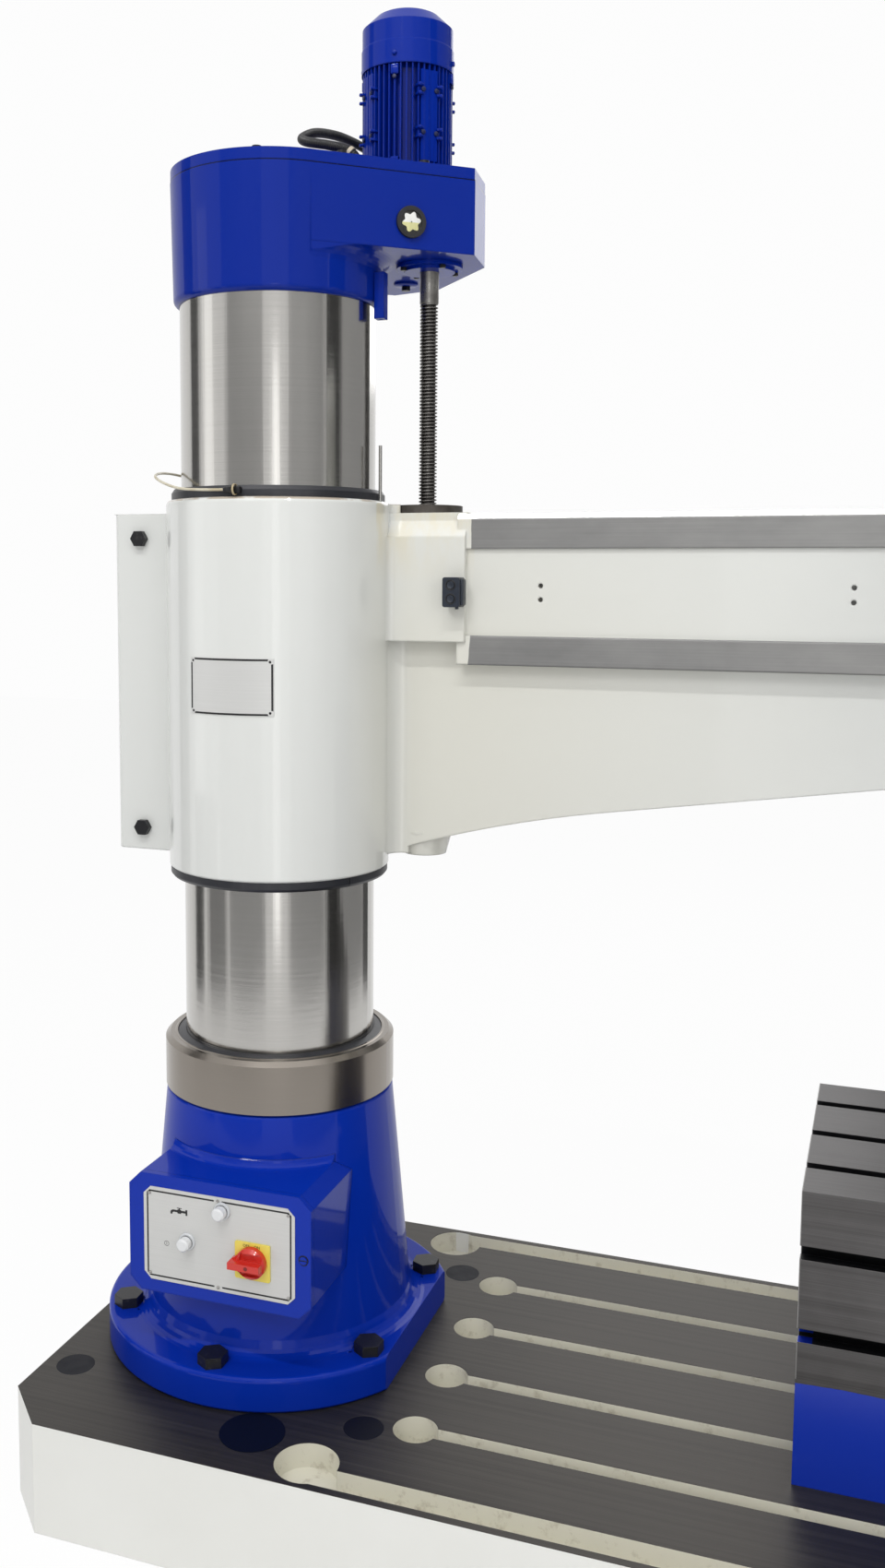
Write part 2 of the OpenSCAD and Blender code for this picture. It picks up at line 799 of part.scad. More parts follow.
module drain_plug() {
  color(black) translate([157, 242, gearbox_z]) rotate([180, 0, 0]) {
    cylinder(r = 14, h = 4);
    translate([0, 0, 4]) hex_head(15, 9);
  }
}

lug_bottom = 2058;
lug_top = gearbox_z - 30;

module limit_switch() {
  color(blue) difference() {
    translate([skirt_r_at(lug_top) + 0.1, -10, lug_bottom]) cube([18, 20, lug_top - lug_bottom]);
    translate([rod_x, 0, lug_bottom - 1]) cylinder(r = rod_r + 1, h = lug_top - lug_bottom + 2);
  }
}

module lift_screw() {
  color(iron) translate([screw_x, screw_y, 0]) {
    translate([0, 0, screw_bottom]) cylinder(r = screw_r, h = 2100 - screw_bottom);
    translate([0, 0, 2100]) cylinder(r = 17, h = screw_top - 2100);
  }
}

module lift_gear() {
  color(steel) translate([screw_x, screw_y, gear_z]) difference() {
    rotate(180 + atan2(motor_y - screw_y, motor_x - screw_x)) union() {
      gear(gear_module, gear_teeth, gear_w);
      cylinder(r = 32, h = gear_w + 8);
    }
    translate([0, 0, -1]) cylinder(r = 17, h = 50);
  }
}

// Arm casting
arm_taper = 0.143;
arm_bow = 0.00023;
function arm_under(x) = 1231 + arm_taper * (x - 800) - arm_bow * pow(max(0, 600 - x), 2);

module arm_side() {
  polygon(concat(
    [for (x = [150:50:600]) [x, arm_under(x)]],
    [[arm_end, arm_under(arm_end)], [arm_end, 1480], [boss_right, 1480]],
    [[boss_right, boss_bottom + 3], [150, boss_bottom + 3]]
  ));
}

// Section of the guide beam across the arm: two guideways, a dovetail below, a groove on top
module beam_section() {
  groove_back = groove_y + groove_w;
  polygon([
    [rail_y, lower_rail_z], [rail_y, lower_rail_z + rail_h], [web_y, lower_rail_z + rail_h],
    [web_y, upper_rail_z], [rail_y, upper_rail_z], [rail_y, upper_rail_z + rail_h],
    [rail_y + 4, arm_top], [groove_y, arm_top], [groove_y, arm_top - groove_depth],
    [groove_back, arm_top - groove_depth], [groove_back, arm_top], [arm_back - 12, arm_top],
    [arm_back, arm_top - 12], [arm_back, lower_rail_z], [low_web_y, lower_rail_z + 18]
  ]);
}

// Web of material between the sleeve and a wall at y, with a hollow rounding of radius r
module root_plan(y, x_end, r) {
  reach = sleeve_r + r;
  cx = sqrt(reach * reach - pow(y - r, 2));
  tangent = sleeve_r / reach;
  translate([0, y]) square([x_end, arm_back - y]);
  difference() {
    polygon([[0, y + 1], [cx, y + 1], [cx, y - r], [cx * tangent, (y - r) * tangent], [0, 0]]);
    translate([cx, y - r]) circle(r = r);
  }
}

module sleeve_body() {
  r = sleeve_r;
  translate([0, 0, sleeve_z]) rotate_extrude($fn = 160) polygon(concat(
    [[100, 0], [r - 3, 0], [r, 3], [r, sleeve_h - sleeve_round]],
    [for (a = [15:15:75]) [r - sleeve_round * (1 - cos(a)), sleeve_h - sleeve_round * (1 - sin(a))]],
    [[r - sleeve_round, sleeve_h], [100, sleeve_h]]
  ));
  translate([ear_left, -ear_half, ear_bottom]) difference() {
    cube([140, 2 * ear_half, ear_top - ear_bottom]);
    for (y = [0, 2 * ear_half]) {
      translate([0, y, -1]) rotate(45) cube([10, 10, 2 * (ear_top - ear_bottom)], center = true);
    }
  }
  translate([0, 0, sleeve_z + 20]) linear_extrude(boss_top - sleeve_z - 20) root_plan(low_web_y, 232, 28);
  translate([0, 0, 1700]) linear_extrude(sleeve_top - 4 - 1700) root_plan(low_web_y - 8, 207, 16);
}

module nut_boss() {
  translate([0, 0, boss_bottom]) linear_extrude(boss_step - boss_bottom) root_plan(boss_y, boss_right, 12);
  translate([boss_left, 0, 0]) rotate([90, 0, 90]) linear_extrude(boss_right - boss_left)
    polygon([
      [boss_y, boss_step - 1], [boss_y + 14, boss_top - 14], [boss_y + 14, boss_top],
      [arm_back - 12, boss_top], [arm_back, boss_top - 12], [arm_back, boss_step - 1]
    ]);
  translate([screw_x, screw_y, 1100]) cylinder(r1 = 40, r2 = 52, h = 45);
}

module arm_beam() {
  translate([boss_right - 16, 0, 0]) rotate([90, 0, 90])
    linear_extrude(arm_end - boss_right + 16) beam_section();
  translate([0, arm_back, 0]) rotate([90, 0, 0]) linear_extrude(arm_back - low_web_y) arm_side();
}

module arm() {
  land = 130;
  color(cream) difference() {
    union() {
      sleeve_body();
      nut_boss();
      arm_beam();
    }
    translate([0, 0, sleeve_z - 1]) cylinder(r = column_r + 0.05, h = sleeve_h + 2);
    translate([0, 0, sleeve_z + land]) cylinder(r = column_r + 6, h = sleeve_h - 2 * land);
    translate([ear_left - 1, -3, sleeve_z - 1]) cube([160, 6, sleeve_h + 2]);
    translate([boss_right - 20, groove_y, arm_top - groove_depth])
      cube([rail_start - boss_right + 24, groove_w, groove_depth + 10]);
    translate([screw_x, screw_y, 1090]) cylinder(r = 26, h = 640);
    translate([screw_x, screw_y, boss_top - 90]) cylinder(r = 38, h = 100);
    translate([screw_x, screw_y, boss_top]) cylinder(r = nut_r + 1, h = 40);
    for (z = ear_bolts_z) {
      translate([ear_bolt_x, -80, z]) rotate([-90, 0, 0]) cylinder(r = 9.5, h = 160);
    }
    for (x = hole_x, z = hole_z) {
      translate([x, web_y - 1, z]) rotate([-90, 0, 0]) cylinder(r = 4.2, h = 26);
    }
    translate([rod_x, 0, sleeve_top - 20]) cylinder(r = rod_r, h = 21);
    translate([-key_w / 2, 0, 1200]) cube([key_w, column_r + 12, 400]);
  }
}

module upper_wiper() {
  color(black) translate([0, 0, sleeve_top]) rotate_extrude() polygon([
    [column_r + 0.3, 0], [192.5, 0], [192.5, 12], [188, 19], [column_r + 4, 19], [column_r + 0.3, 16]
  ]);
}

module lower_wiper() {
  color(black) difference() {
    translate([0, 0, sleeve_z - 17]) rotate_extrude() polygon([
      [column_r + 0.3, 3], [column_r + 4, 0], [196, 0], [200, 5], [200, 17], [column_r + 0.3, 17]
    ]);
    rotate(-28) translate([column_r - 5, -1, sleeve_z - 20]) cube([40, 2, 30]);
  }
}

module arm_key() {
  color(steel) translate([-key_w / 2 + 0.1, column_r - key_d + 0.3, 1200])
    cube([key_w - 0.2, key_d + 11.7, 400]);
}

module lift_nut() {
  color(iron) translate([screw_x, screw_y, 0]) difference() {
    union() {
      translate([0, 0, boss_top]) cylinder(r = nut_r, h = nut_t);
      translate([0, 0, boss_top - 88]) cylinder(r = 38, h = 88 + eps);
    }
    translate([0, 0, 1600]) cylinder(r = screw_r + 0.05, h = 200);
  }
}

module ear_bolts() {
  color(black) for (z = ear_bolts_z) {
    translate([ear_bolt_x, -ear_half, z]) rotate([90, 0, 0]) {
      hex_head(27, 12);
      translate([0, 0, -2 * ear_half - 18]) cylinder(r = 9, h = 2 * ear_half + 20);
      translate([0, 0, -2 * ear_half - 14]) hex_head(27, 14);
    }
  }
}

// Switch block on the nut boss
module arm_switch_box() {
  color([0.13, 0.17, 0.24]) difference() {
    upright(-8, boss_y + 8) rounded(315, 1559, 346, 1611, 4);
    for (z = [1573.5, 1597.5]) translate([330, -9, z]) rotate([-90, 0, 0]) cylinder(r = 7.05, h = 12);
  }
}

module arm_switch_upper() {
  color([0.1, 0.13, 0.19]) translate([330, -10, 1597.5]) rotate([-90, 0, 0]) cylinder(r = 7, h = 8);
}

module arm_switch_lower() {
  color([0.1, 0.13, 0.19]) translate([330, -10, 1573.5]) rotate([-90, 0, 0]) cylinder(r = 7, h = 8);
}

// Thin grease line that leaves the ring, loops out and ends behind the column
grease_route = [
  [4, -200, 1756], [-40, -201, 1756], [-100, -186, 1760], [-150, -154, 1772], [-190, -112, 1786],
  [-212, -60, 1796], [-220, 0, 1800], [-212, 60, 1796], [-180, 108, 1784], [-140, 140, 1764],
  [-132, 146, 1752]
];

module grease_line() {
  path = spline(grease_route, 14);
  color([0.75, 0.72, 0.62]) tube(path, [for (p = path) 2.4], 8);
}

module trip_rod() {
  color(steel) translate([rod_x, 0, sleeve_top - 18]) cylinder(r = rod_r, h = 114);
}

module sleeve_plate() {
  color([0.75, 0.75, 0.74]) intersection() {
    translate([0, 0, 1374]) ring(sleeve_r + 1, sleeve_r, 98);
    translate([-84, -300, 1370]) cube([159, 300, 110]);
  }
}

// Rack at the bottom of the groove, teeth upwards
rack_pitch = PI * gear_module;
rack_x = rail_start + 10;
rack_h = 20;
pinion_z = arm_top - groove_depth + rack_h + 25.6;

module rack() {
  teeth = floor((arm_end - 60 - rail_start) / rack_pitch);
  line = [
    for (i = [0:teeth - 1], s = [[0.14, 0], [0.32, 6], [0.68, 6], [0.86, 0]])
      [rack_x + rack_pitch * (i + s[0]), rack_h + s[1]]
  ];
  rack_end = rack_x + teeth * rack_pitch;
  color(iron) translate([0, groove_y + groove_w, arm_top - groove_depth]) rotate([90, 0, 0])
    linear_extrude(22)
      polygon(concat([[rack_x, 0], [rack_x, rack_h]], line, [[rack_end, rack_h], [rack_end, 0]]));
}

// Drill head
module drill_head() {
  pad = rail_y - 0.05;
  color(cream) difference() {
    union() {
      translate([0, 0, head_bottom]) linear_extrude(head_top - head_bottom)
        rounded(head_left, head_front, head_right, 24, 24);
      for (z = [lower_rail_z, upper_rail_z]) {
        translate([head_left + 24, 10, z + 1]) cube([head_right - head_left - 48, pad - 10, rail_h - 2]);
      }
      translate([head_left + 24, 0, arm_top + 2])
        cube([head_right - head_left - 48, groove_y + groove_w + 30, head_top - arm_top - 22]);
      translate([head_left + 24, groove_y + 2, arm_top - 24]) cube([head_right - head_left - 48, 15, 40]);
      translate([head_x, spindle_y, nose_bottom]) cylinder(r = nose_r, h = head_bottom - nose_bottom + 20);
      translate([head_x, spindle_y, head_top]) cylinder(r = 135, h = 14);
    }
    translate([head_x, spindle_y, nose_bottom - 1])
      cylinder(r = quill_r + 0.05, h = head_top - nose_bottom - 40);
    translate([pinion_x, groove_y + 26, pinion_z]) rotate([-90, 0, 0]) cylinder(r = 30, h = 26);
    translate([pinion_x, -100, pinion_z]) rotate([-90, 0, 0]) cylinder(r = 10.05, h = 300);
    translate([pinion_x - 30, groove_y + 26, 1700]) cube([60, 26, pinion_z - 1700]);
    translate([handwheel_x, head_front - 1, handwheel_z]) rotate([-90, 0, 0]) cylinder(r = 12.05, h = 60);
    translate([feed_x, head_front - 1, feed_z]) rotate([-90, 0, 0]) cylinder(r = 20.05, h = 60);
    translate([dial_x, head_front - 1, dial_z]) rotate([-90, 0, 0]) cylinder(r = 8.05, h = 40);
    translate([lever_x, head_front - 1, lever_z]) rotate([-90, 0, 0]) cylinder(r = 10.05, h = 40);
    for (x = [start_x, stop_x]) {
      translate([x, head_front - 1, buttons_z]) rotate([-90, 0, 0]) cylinder(r = 10.05, h = 20);
    }
  }
}

module head_keeper() {
  gap = 0.07;
  color(iron) translate([head_left + 30, 0, 0]) rotate([90, 0, 90])
    linear_extrude(head_right - head_left - 60)
      polygon([
        [24, lower_rail_z - 42], [52, lower_rail_z - 42], [56, lower_rail_z - 38],
        [56, lower_rail_z + 15.6 - gap], [rail_y, lower_rail_z - gap], [24, lower_rail_z - gap]
      ]);
}

module head_motor() {
  color(cream) translate([head_x, spindle_y, head_top + 14]) {
    cylinder(r = 125, h = 16);
    translate([0, 0, 16]) cylinder(r = 104, h = 214);
    for (k = [0:35]) rotate(10 * k) translate([100, -1.5, 26]) cube([18, 3, 196]);
    translate([0, 0, 230]) rotate_extrude() polygon([[0, 0], [120, 0], [120, 54], [86, 84], [0, 84]]);
    translate([96, -48, 60]) cube([64, 96, 110]);
  }
}

module traverse_handwheel() {
  color(steel) translate([handwheel_x, head_front, handwheel_z]) rotate([90, 0, 0]) {
    translate([0, 0, -50]) cylinder(r = 12, h = 60);
    translate([0, 0, 4]) cylinder(r = 26, h = 36);
    translate([0, 0, 30]) rotate_extrude() translate([handwheel_r, 0]) circle(r = 10, $fn = 32);
    for (a = [90, 210, 330]) {
      rotate(a) translate([0, 0, 28]) rotate([0, 90, 0]) cylinder(r = 7, h = handwheel_r - 4, $fn = 32);
    }
    rotate(60) translate([handwheel_r, 0, 36]) cylinder(r = 6, h = 20);
    rotate(60) translate([handwheel_r, 0, 50]) cylinder(r1 = 10, r2 = 14, h = 60);
  }
}

module traverse_pinion() {
  color(steel) translate([pinion_x, groove_y + 29, pinion_z]) rotate([-90, 0, 0]) {
    rotate(90 + 360 / pinion_teeth * (pinion_x - rack_x) / rack_pitch) gear(gear_module, pinion_teeth, 20);
    translate([0, 0, -80]) cylinder(r = 10, h = 130);
  }
}

module feed_handle() {
  color(steel) translate([feed_x, head_front, feed_z]) rotate([90, 0, 0]) {
    translate([0, 0, -50]) cylinder(r = 20, h = 54);
    translate([0, 0, 3]) cylinder(r1 = 52, r2 = 44, h = 40);
    for (a = [30, 150, 270]) rotate(a) translate([0, 0, 24]) rotate([0, 78, 0]) {
      cylinder(r = 8, h = 150, $fn = 32);
      translate([0, 0, 154]) sphere(r = 17, $fn = 48);
    }
  }
}

module quill() {
  color(steel) translate([head_x, spindle_y, quill_bottom]) difference() {
    cylinder(r = quill_r, h = quill_len);
    translate([0, 0, -1]) cylinder(r = spindle_r + 0.05, h = quill_len + 2);
    translate([-8, -60, 80]) cube([16, 120, 40]);
  }
}

module spindle() {
  color(steel) translate([head_x, spindle_y, spindle_bottom]) difference() {
    union() {
      cylinder(r = 45, h = quill_bottom - spindle_bottom - 1);
      cylinder(r = spindle_r, h = quill_len + 30);
    }
    translate([0, 0, -1]) cylinder(r1 = 22.3, r2 = 18.8, h = 136);
    translate([-7, -50, 105]) cube([14, 100, 40]);
  }
}

module speed_dial() {
  color(black) translate([dial_x, head_front, dial_z]) rotate([90, 0, 0]) {
    translate([0, 0, -30]) cylinder(r = 8, h = 32);
    translate([0, 0, 1]) cylinder(r = 42, h = 6);
    translate([0, 0, 7]) cylinder(r1 = 24, r2 = 21, h = 28);
  }
}

module spindle_lever() {
  color(steel) translate([lever_x, head_front, lever_z]) rotate([90, 0, 0]) {
    translate([0, 0, -30]) cylinder(r = 10, h = 34);
    translate([0, 0, 3]) cylinder(r = 24, h = 26);
    translate([0, 0, 16]) rotate([0, -84, 0]) {
      cylinder(r = 7, h = 116);
      translate([0, 0, 126]) sphere(r = 16);
    }
  }
}

module head_button(x) {
  translate([x, head_front - 8, buttons_z]) rotate([-90, 0, 0]) cylinder(r = 10, h = 22);
}

module start_button() {
  color([0.1, 0.5, 0.2]) head_button(start_x);
}

module stop_button() {
  color([0.75, 0.08, 0.06]) head_button(stop_x);
}

base_plate();
foundation_plugs();
tank_cover();
pedestal();
pedestal_bolts();
inner_column();
column_bearings();
electrical_box();
box_table();
table_bolts();
box_door();
panel_plate();
switch_plate();
switch_handle();
upper_button();
lower_button();
door_lock();
outer_column();
clamp_ring();
ring_wiper();
lift_gearbox();
gearbox_cover();
cover_screws();
lift_motor();
terminal_box();
fan_cowl();
motor_rotor();
conduit();
sight_glass_ring();
sight_glass();
screw_bearing_cap();
drain_plug();
limit_switch();
lift_screw();
lift_gear();
arm();
upper_wiper();
lower_wiper();
arm_key();
lift_nut();
ear_bolts();
arm_switch_box();
arm_switch_upper();
arm_switch_lower();
grease_line();
trip_rod();
sleeve_plate();
rack();
drill_head();
head_keeper();
head_motor();
traverse_handwheel();
traverse_pinion();
feed_handle();
quill();
spindle();
speed_dial();
spindle_lever();
start_button();
stop_button();
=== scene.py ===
import math

import bmesh
import bpy
from mathutils import Matrix, Vector


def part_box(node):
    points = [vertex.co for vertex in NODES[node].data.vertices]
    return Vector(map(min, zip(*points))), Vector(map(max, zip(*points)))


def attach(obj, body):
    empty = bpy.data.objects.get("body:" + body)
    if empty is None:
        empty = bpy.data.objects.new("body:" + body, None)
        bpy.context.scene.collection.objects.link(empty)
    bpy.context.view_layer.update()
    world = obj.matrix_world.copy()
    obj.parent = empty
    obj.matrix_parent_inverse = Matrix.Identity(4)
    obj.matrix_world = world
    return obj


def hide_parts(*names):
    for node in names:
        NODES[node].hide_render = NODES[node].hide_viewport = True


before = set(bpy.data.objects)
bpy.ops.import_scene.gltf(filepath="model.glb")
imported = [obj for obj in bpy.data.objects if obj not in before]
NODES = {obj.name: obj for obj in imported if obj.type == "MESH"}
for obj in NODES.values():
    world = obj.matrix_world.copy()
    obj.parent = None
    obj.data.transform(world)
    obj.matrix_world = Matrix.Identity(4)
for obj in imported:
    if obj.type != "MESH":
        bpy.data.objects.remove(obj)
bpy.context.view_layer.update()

MM = 0.001
PHOTO_WIDTH = 960
PHOTO_HEIGHT = 1700

# Places that several pieces share, in millimetres
SCREW_AXIS = (248, 110)
MOTOR_AXIS = (186.19, 161.85)
SLEEVE_PLATE_RADIUS = 203.5
PANEL_Y = -301.5
HEAD_Y = -330

# Colours that several finishes share
BLUE = (0.0018, 0.028, 0.38)
CREAM = (0.69, 0.695, 0.665)
STEEL = (0.52, 0.51, 0.49)


# The camera stands in front of the column, a little to its right, at the height of the arm.
# Its angles are in radians, its focal length and picture centre in the photograph's pixels.
def make_camera():
    eye = Vector((1.07175, -2.37477, 1.60528))
    yaw = 0.345268
    pitch = 0.102854
    roll = 0.005084
    focal = 1535.77
    centre_x = 423.67
    centre_y = 787.67
    ahead = Vector((-math.sin(yaw) * math.cos(pitch), math.cos(yaw) * math.cos(pitch), -math.sin(pitch)))
    level = Vector((math.cos(yaw), math.sin(yaw), 0))
    over = level.cross(ahead)
    right = level * math.cos(roll) + over * math.sin(roll)
    up = over * math.cos(roll) - level * math.sin(roll)
    lens = bpy.data.cameras.new("camera")
    lens.sensor_fit = "VERTICAL"
    lens.sensor_height = 24
    lens.lens = focal / PHOTO_HEIGHT * lens.sensor_height
    lens.shift_x = (PHOTO_WIDTH / 2 - centre_x) / PHOTO_HEIGHT
    lens.shift_y = (centre_y - PHOTO_HEIGHT / 2) / PHOTO_HEIGHT
    lens.clip_end = 60
    camera = bpy.data.objects.new("camera", lens)
    turn = Matrix((right, up, -ahead)).transposed().to_4x4()
    camera.matrix_world = Matrix.Translation(eye) @ turn
    bpy.context.scene.collection.objects.link(camera)
    bpy.context.scene.camera = camera


make_camera()
bpy.context.scene.view_settings.view_transform = "Standard"


# Shader maths: a value is a socket that can be added, multiplied and compared.
class Value:
    def __init__(self, finish, socket):
        self.finish = finish
        self.socket = socket

    def __add__(self, other):
        return self.finish.math("ADD", self, other)

    def __radd__(self, other):
        return self.finish.math("ADD", other, self)

    def __sub__(self, other):
        return self.finish.math("SUBTRACT", self, other)

    def __rsub__(self, other):
        return self.finish.math("SUBTRACT", other, self)

    def __mul__(self, other):
        return self.finish.math("MULTIPLY", self, other)

    def __rmul__(self, other):
        return self.finish.math("MULTIPLY", other, self)

    def __gt__(self, other):
        return self.finish.math("GREATER_THAN", self, other)

    def __lt__(self, other):
        return self.finish.math("LESS_THAN", self, other)


class Shading:
    """A node tree: every node is made by node(), and sums on values add their own Math nodes."""

    def __init__(self, tree):
        self.tree = tree

    def plug(self, socket, value):
        if isinstance(value, Value):
            self.tree.links.new(value.socket, socket)
        elif isinstance(value, (tuple, list)) and len(value) == 3 and len(socket.default_value) == 4:
            socket.default_value = (*value, 1.0)
        else:
            socket.default_value = value

    def node(self, kind, settings=None, inputs=None, output=0):
        made = self.tree.nodes.new(kind)
        for key, value in (settings or {}).items():
            setattr(made, key, value)
        for key, value in (inputs or {}).items():
            self.plug(made.inputs[key], value)
        return Value(self, made.outputs[output])

    def math(self, operation, a, b=0.0):
        return self.node("ShaderNodeMath", {"operation": operation}, {0: a, 1: b})

    def backdrop_rays(self):
        """1 for the rays that see the backdrop: from the camera, off gloss and through glass."""
        camera, glossy, through = [
            self.node("ShaderNodeLightPath", output="Is %s Ray" % kind)
            for kind in ("Camera", "Glossy", "Transmission")
        ]
        return self.math("MAXIMUM", self.math("MAXIMUM", camera, glossy), through)


class Finish(Shading):
    """A material under construction, with its Principled shader."""

    def __init__(self, name, colour, roughness, metallic=0.0, **constants):
        self.material = bpy.data.materials.new(name)
        self.material.use_nodes = True
        super().__init__(self.material.node_tree)
        self.shader = self.tree.nodes["Principled BSDF"]
        self.set("Base Color", (*colour, 1.0))
        self.set("Roughness", roughness)
        self.set("Metallic", metallic)
        for socket, value in constants.items():
            self.set(socket.replace("_", " "), value)
        self.material.diffuse_color = (*colour, 1.0)

    def set(self, socket, value):
        self.plug(self.shader.inputs[socket], value)

    def place(self):
        return self.node("ShaderNodeTexCoord", output="Object")

    def axes(self):
        place = self.place()
        return [self.node("ShaderNodeSeparateXYZ", None, {"Vector": place}, output=k) for k in range(3)]

    def stretched(self, scale):
        """Object coordinates times scale: a small number draws the pattern out along that axis."""
        return self.node(
            "ShaderNodeMapping", {"vector_type": "POINT"}, {"Vector": self.place(), "Scale": scale})

    def noise(self, scale, detail=3.0, rough=0.5, vector=None):
        return self.node(
            "ShaderNodeTexNoise", None,
            {"Vector": vector or self.place(), "Scale": scale, "Detail": detail, "Roughness": rough})

    def spread(self, value, low, high, out_low=0.0, out_high=1.0):
        """Value from low to high, drawn out to the second range and held at its ends."""
        return self.node(
            "ShaderNodeMapRange", {"clamp": True},
            {"Value": value, "From Min": low, "From Max": high, "To Min": out_low, "To Max": out_high})

    def within(self, value, low, high):
        return (value > low) * (value < high)

    def mix(self, amount, a, b):
        return self.node(
            "ShaderNodeMix", {"data_type": "RGBA", "clamp_factor": True}, {0: amount, 6: a, 7: b}, output=2)

    def mix_value(self, amount, a, b):
        return amount * b + (1 - amount) * a

    def distance(self, centre, keep):
        """Distance from an axis: keep is 1 on the two directions across it and 0 along it."""
        flat = self.node("ShaderNodeVectorMath", {"operation": "MULTIPLY"}, {0: self.place(), 1: keep})
        return self.node("ShaderNodeVectorMath", {"operation": "DISTANCE"}, {0: flat, 1: centre}, output=1)

    def soft_edges(self, radius):
        return self.node("ShaderNodeBevel", {"samples": 4}, {"Radius": radius})

    def bump(self, height, depth, strength=1.0, under=None):
        inputs = {"Height": height, "Distance": depth, "Strength": strength}
        if under is not None:
            inputs["Normal"] = under
        return self.node("ShaderNodeBump", None, inputs)


# Paints: enamel over cast iron, with a slight orange peel and soft edges. A seam is a dark line
# between two heights.
def enamel(name, colour, dark, roughness, peel, edge, gloss, coat, seam=None):
    paint = Finish(name, colour, roughness, Coat_Weight=coat, Coat_Roughness=0.06, Specular_IOR_Level=gloss)
    tone = paint.mix(paint.noise(1.6, 2.0), colour, dark)
    if seam:
        z = paint.axes()[2]
        tone = paint.mix(paint.within(z, *seam), tone, (0.002, 0.003, 0.008))
    paint.set("Base Color", tone)
    paint.set("Roughness", paint.noise(9.0, 2.0) * 0.08 + roughness)
    swell = paint.noise(8.0, 1.0) * 0.8 + paint.noise(95.0, 2.0) * 0.2
    paint.set("Normal", paint.bump(swell, peel, 1.0, paint.soft_edges(edge)))
    return paint


# The blue enamel. A shade below 1 gives a darker copy of the same blue: painted shade on the parts that lie
# in less light.
def blue_enamel(name, seam=None, shade=1.0):
    colour = tuple(c * shade for c in BLUE)
    dark = tuple(c * 0.87 for c in colour)
    return enamel(
        name, colour, dark, roughness=0.3, peel=0.0006, edge=0.004, gloss=0.02, coat=0.36, seam=seam)


def make_cream_enamel():
    return enamel(
        "cream_enamel", CREAM, (0.68, 0.685, 0.65),
        roughness=0.30, peel=0.0003, edge=0.003, gloss=0.3, coat=0.35)


# Ground steel: fine tool lines, and on the tall parts wider upright streaks that bend reflections.
def ground_steel(name, colour, roughness, across, along, depth, streak=0.0):
    steel = Finish(name, colour, roughness, 1.0)
    lines = steel.noise(1.0, 4.0, 0.65, steel.stretched((across, across, along)))
    cloud = steel.noise(3.0, 3.0)
    tone = steel.spread(lines * 0.6 + cloud * 0.4, 0.3, 0.7)
    steel.set("Base Color", steel.mix(tone, tuple(c * 0.86 for c in colour), colour))
    steel.set("Roughness", steel.spread(lines, 0.25, 0.75, roughness * 0.8, roughness * 1.3))
    under = None
    if streak > 0:
        streaks = steel.noise(1.0, 3.0, 0.6, steel.stretched((38.0, 38.0, 0.5)))
        chatter = steel.noise(1.0, 2.0, 0.5, steel.stretched((9.0, 9.0, 95.0)))
        under = steel.bump(streaks * 0.85 + chatter * 0.15, streak)
    steel.set("Normal", steel.bump(lines, depth, 1.0, under))
    return steel


def make_column_steel():
    return ground_steel(
        "column_steel", (0.52, 0.508, 0.485), 0.15, across=2.0, along=900.0, depth=0.00002, streak=0.0005)


def make_ring_steel():
    return ground_steel(
        "ring_steel", (0.28, 0.252, 0.222), 0.21, across=0.5, along=900.0, depth=0.000006, streak=0.0003)


def make_bright_steel():
    return ground_steel("bright_steel", STEEL, 0.20, across=14.0, along=14.0, depth=0.000006)


def make_screw_steel():
    steel = Finish("screw_steel", (0.10, 0.095, 0.09), 0.35, 0.85)
    grime = steel.spread(steel.noise(60.0, 4.0), 0.35, 0.7)
    axis = (SCREW_AXIS[0] * MM, SCREW_AXIS[1] * MM, 0.0)
    crest = steel.spread(steel.distance(axis, (1, 1, 0)), 0.0146, 0.0163)
    oily = steel.mix(grime, (0.035, 0.031, 0.029), (0.075, 0.070, 0.066))
    rubbed = steel.mix(grime, (0.19, 0.18, 0.17), (0.34, 0.33, 0.31))
    steel.set("Base Color", steel.mix(crest, oily, rubbed))
    steel.set("Roughness", steel.spread(grime, 0.0, 1.0, 0.42, 0.26))
    steel.set("Normal", steel.bump(steel.noise(300.0, 2.0), 0.00005))
    return steel


def make_dark_iron():
    iron = Finish("dark_iron", (0.075, 0.065, 0.058), 0.45, 0.6)
    grime = iron.noise(25.0, 5.0, 0.6)
    patches = iron.spread(grime, 0.3, 0.7)
    iron.set("Base Color", iron.mix(patches, (0.05, 0.042, 0.036), (0.11, 0.10, 0.09)))
    iron.set("Normal", iron.bump(grime, 0.0003, 1.0, iron.soft_edges(0.0012)))
    return iron


def make_black_oxide():
    oxide = Finish("black_oxide", (0.014, 0.014, 0.016), 0.38, 0.3)
    worn = oxide.spread(oxide.noise(80.0, 4.0), 0.6, 0.8)
    oxide.set("Base Color", oxide.mix(worn, (0.012, 0.012, 0.014), (0.05, 0.048, 0.045)))
    oxide.set("Normal", oxide.bump(oxide.noise(220.0, 3.0), 0.0001, 1.0, oxide.soft_edges(0.0012)))
    return oxide


# Moulded plastic, ink and small painted parts: one colour with a slight unevenness and a fine grain.
def plastic(name, colour, roughness, coat=0.0, gloss=0.5):
    finish = Finish(name, colour, roughness, Coat_Weight=coat, Specular_IOR_Level=gloss)
    tone = finish.spread(finish.noise(12.0, 3.0), 0.3, 0.7)
    finish.set("Base Color", finish.mix(tone, tuple(c * 0.92 for c in colour), colour))
    matt = finish.spread(finish.noise(50.0, 2.0), 0.3, 0.7, roughness * 0.85, roughness * 1.15)
    finish.set("Roughness", matt)
    finish.set("Normal", finish.bump(finish.noise(700.0, 2.0), 0.00003, 1.0, finish.soft_edges(0.0008)))
    return finish


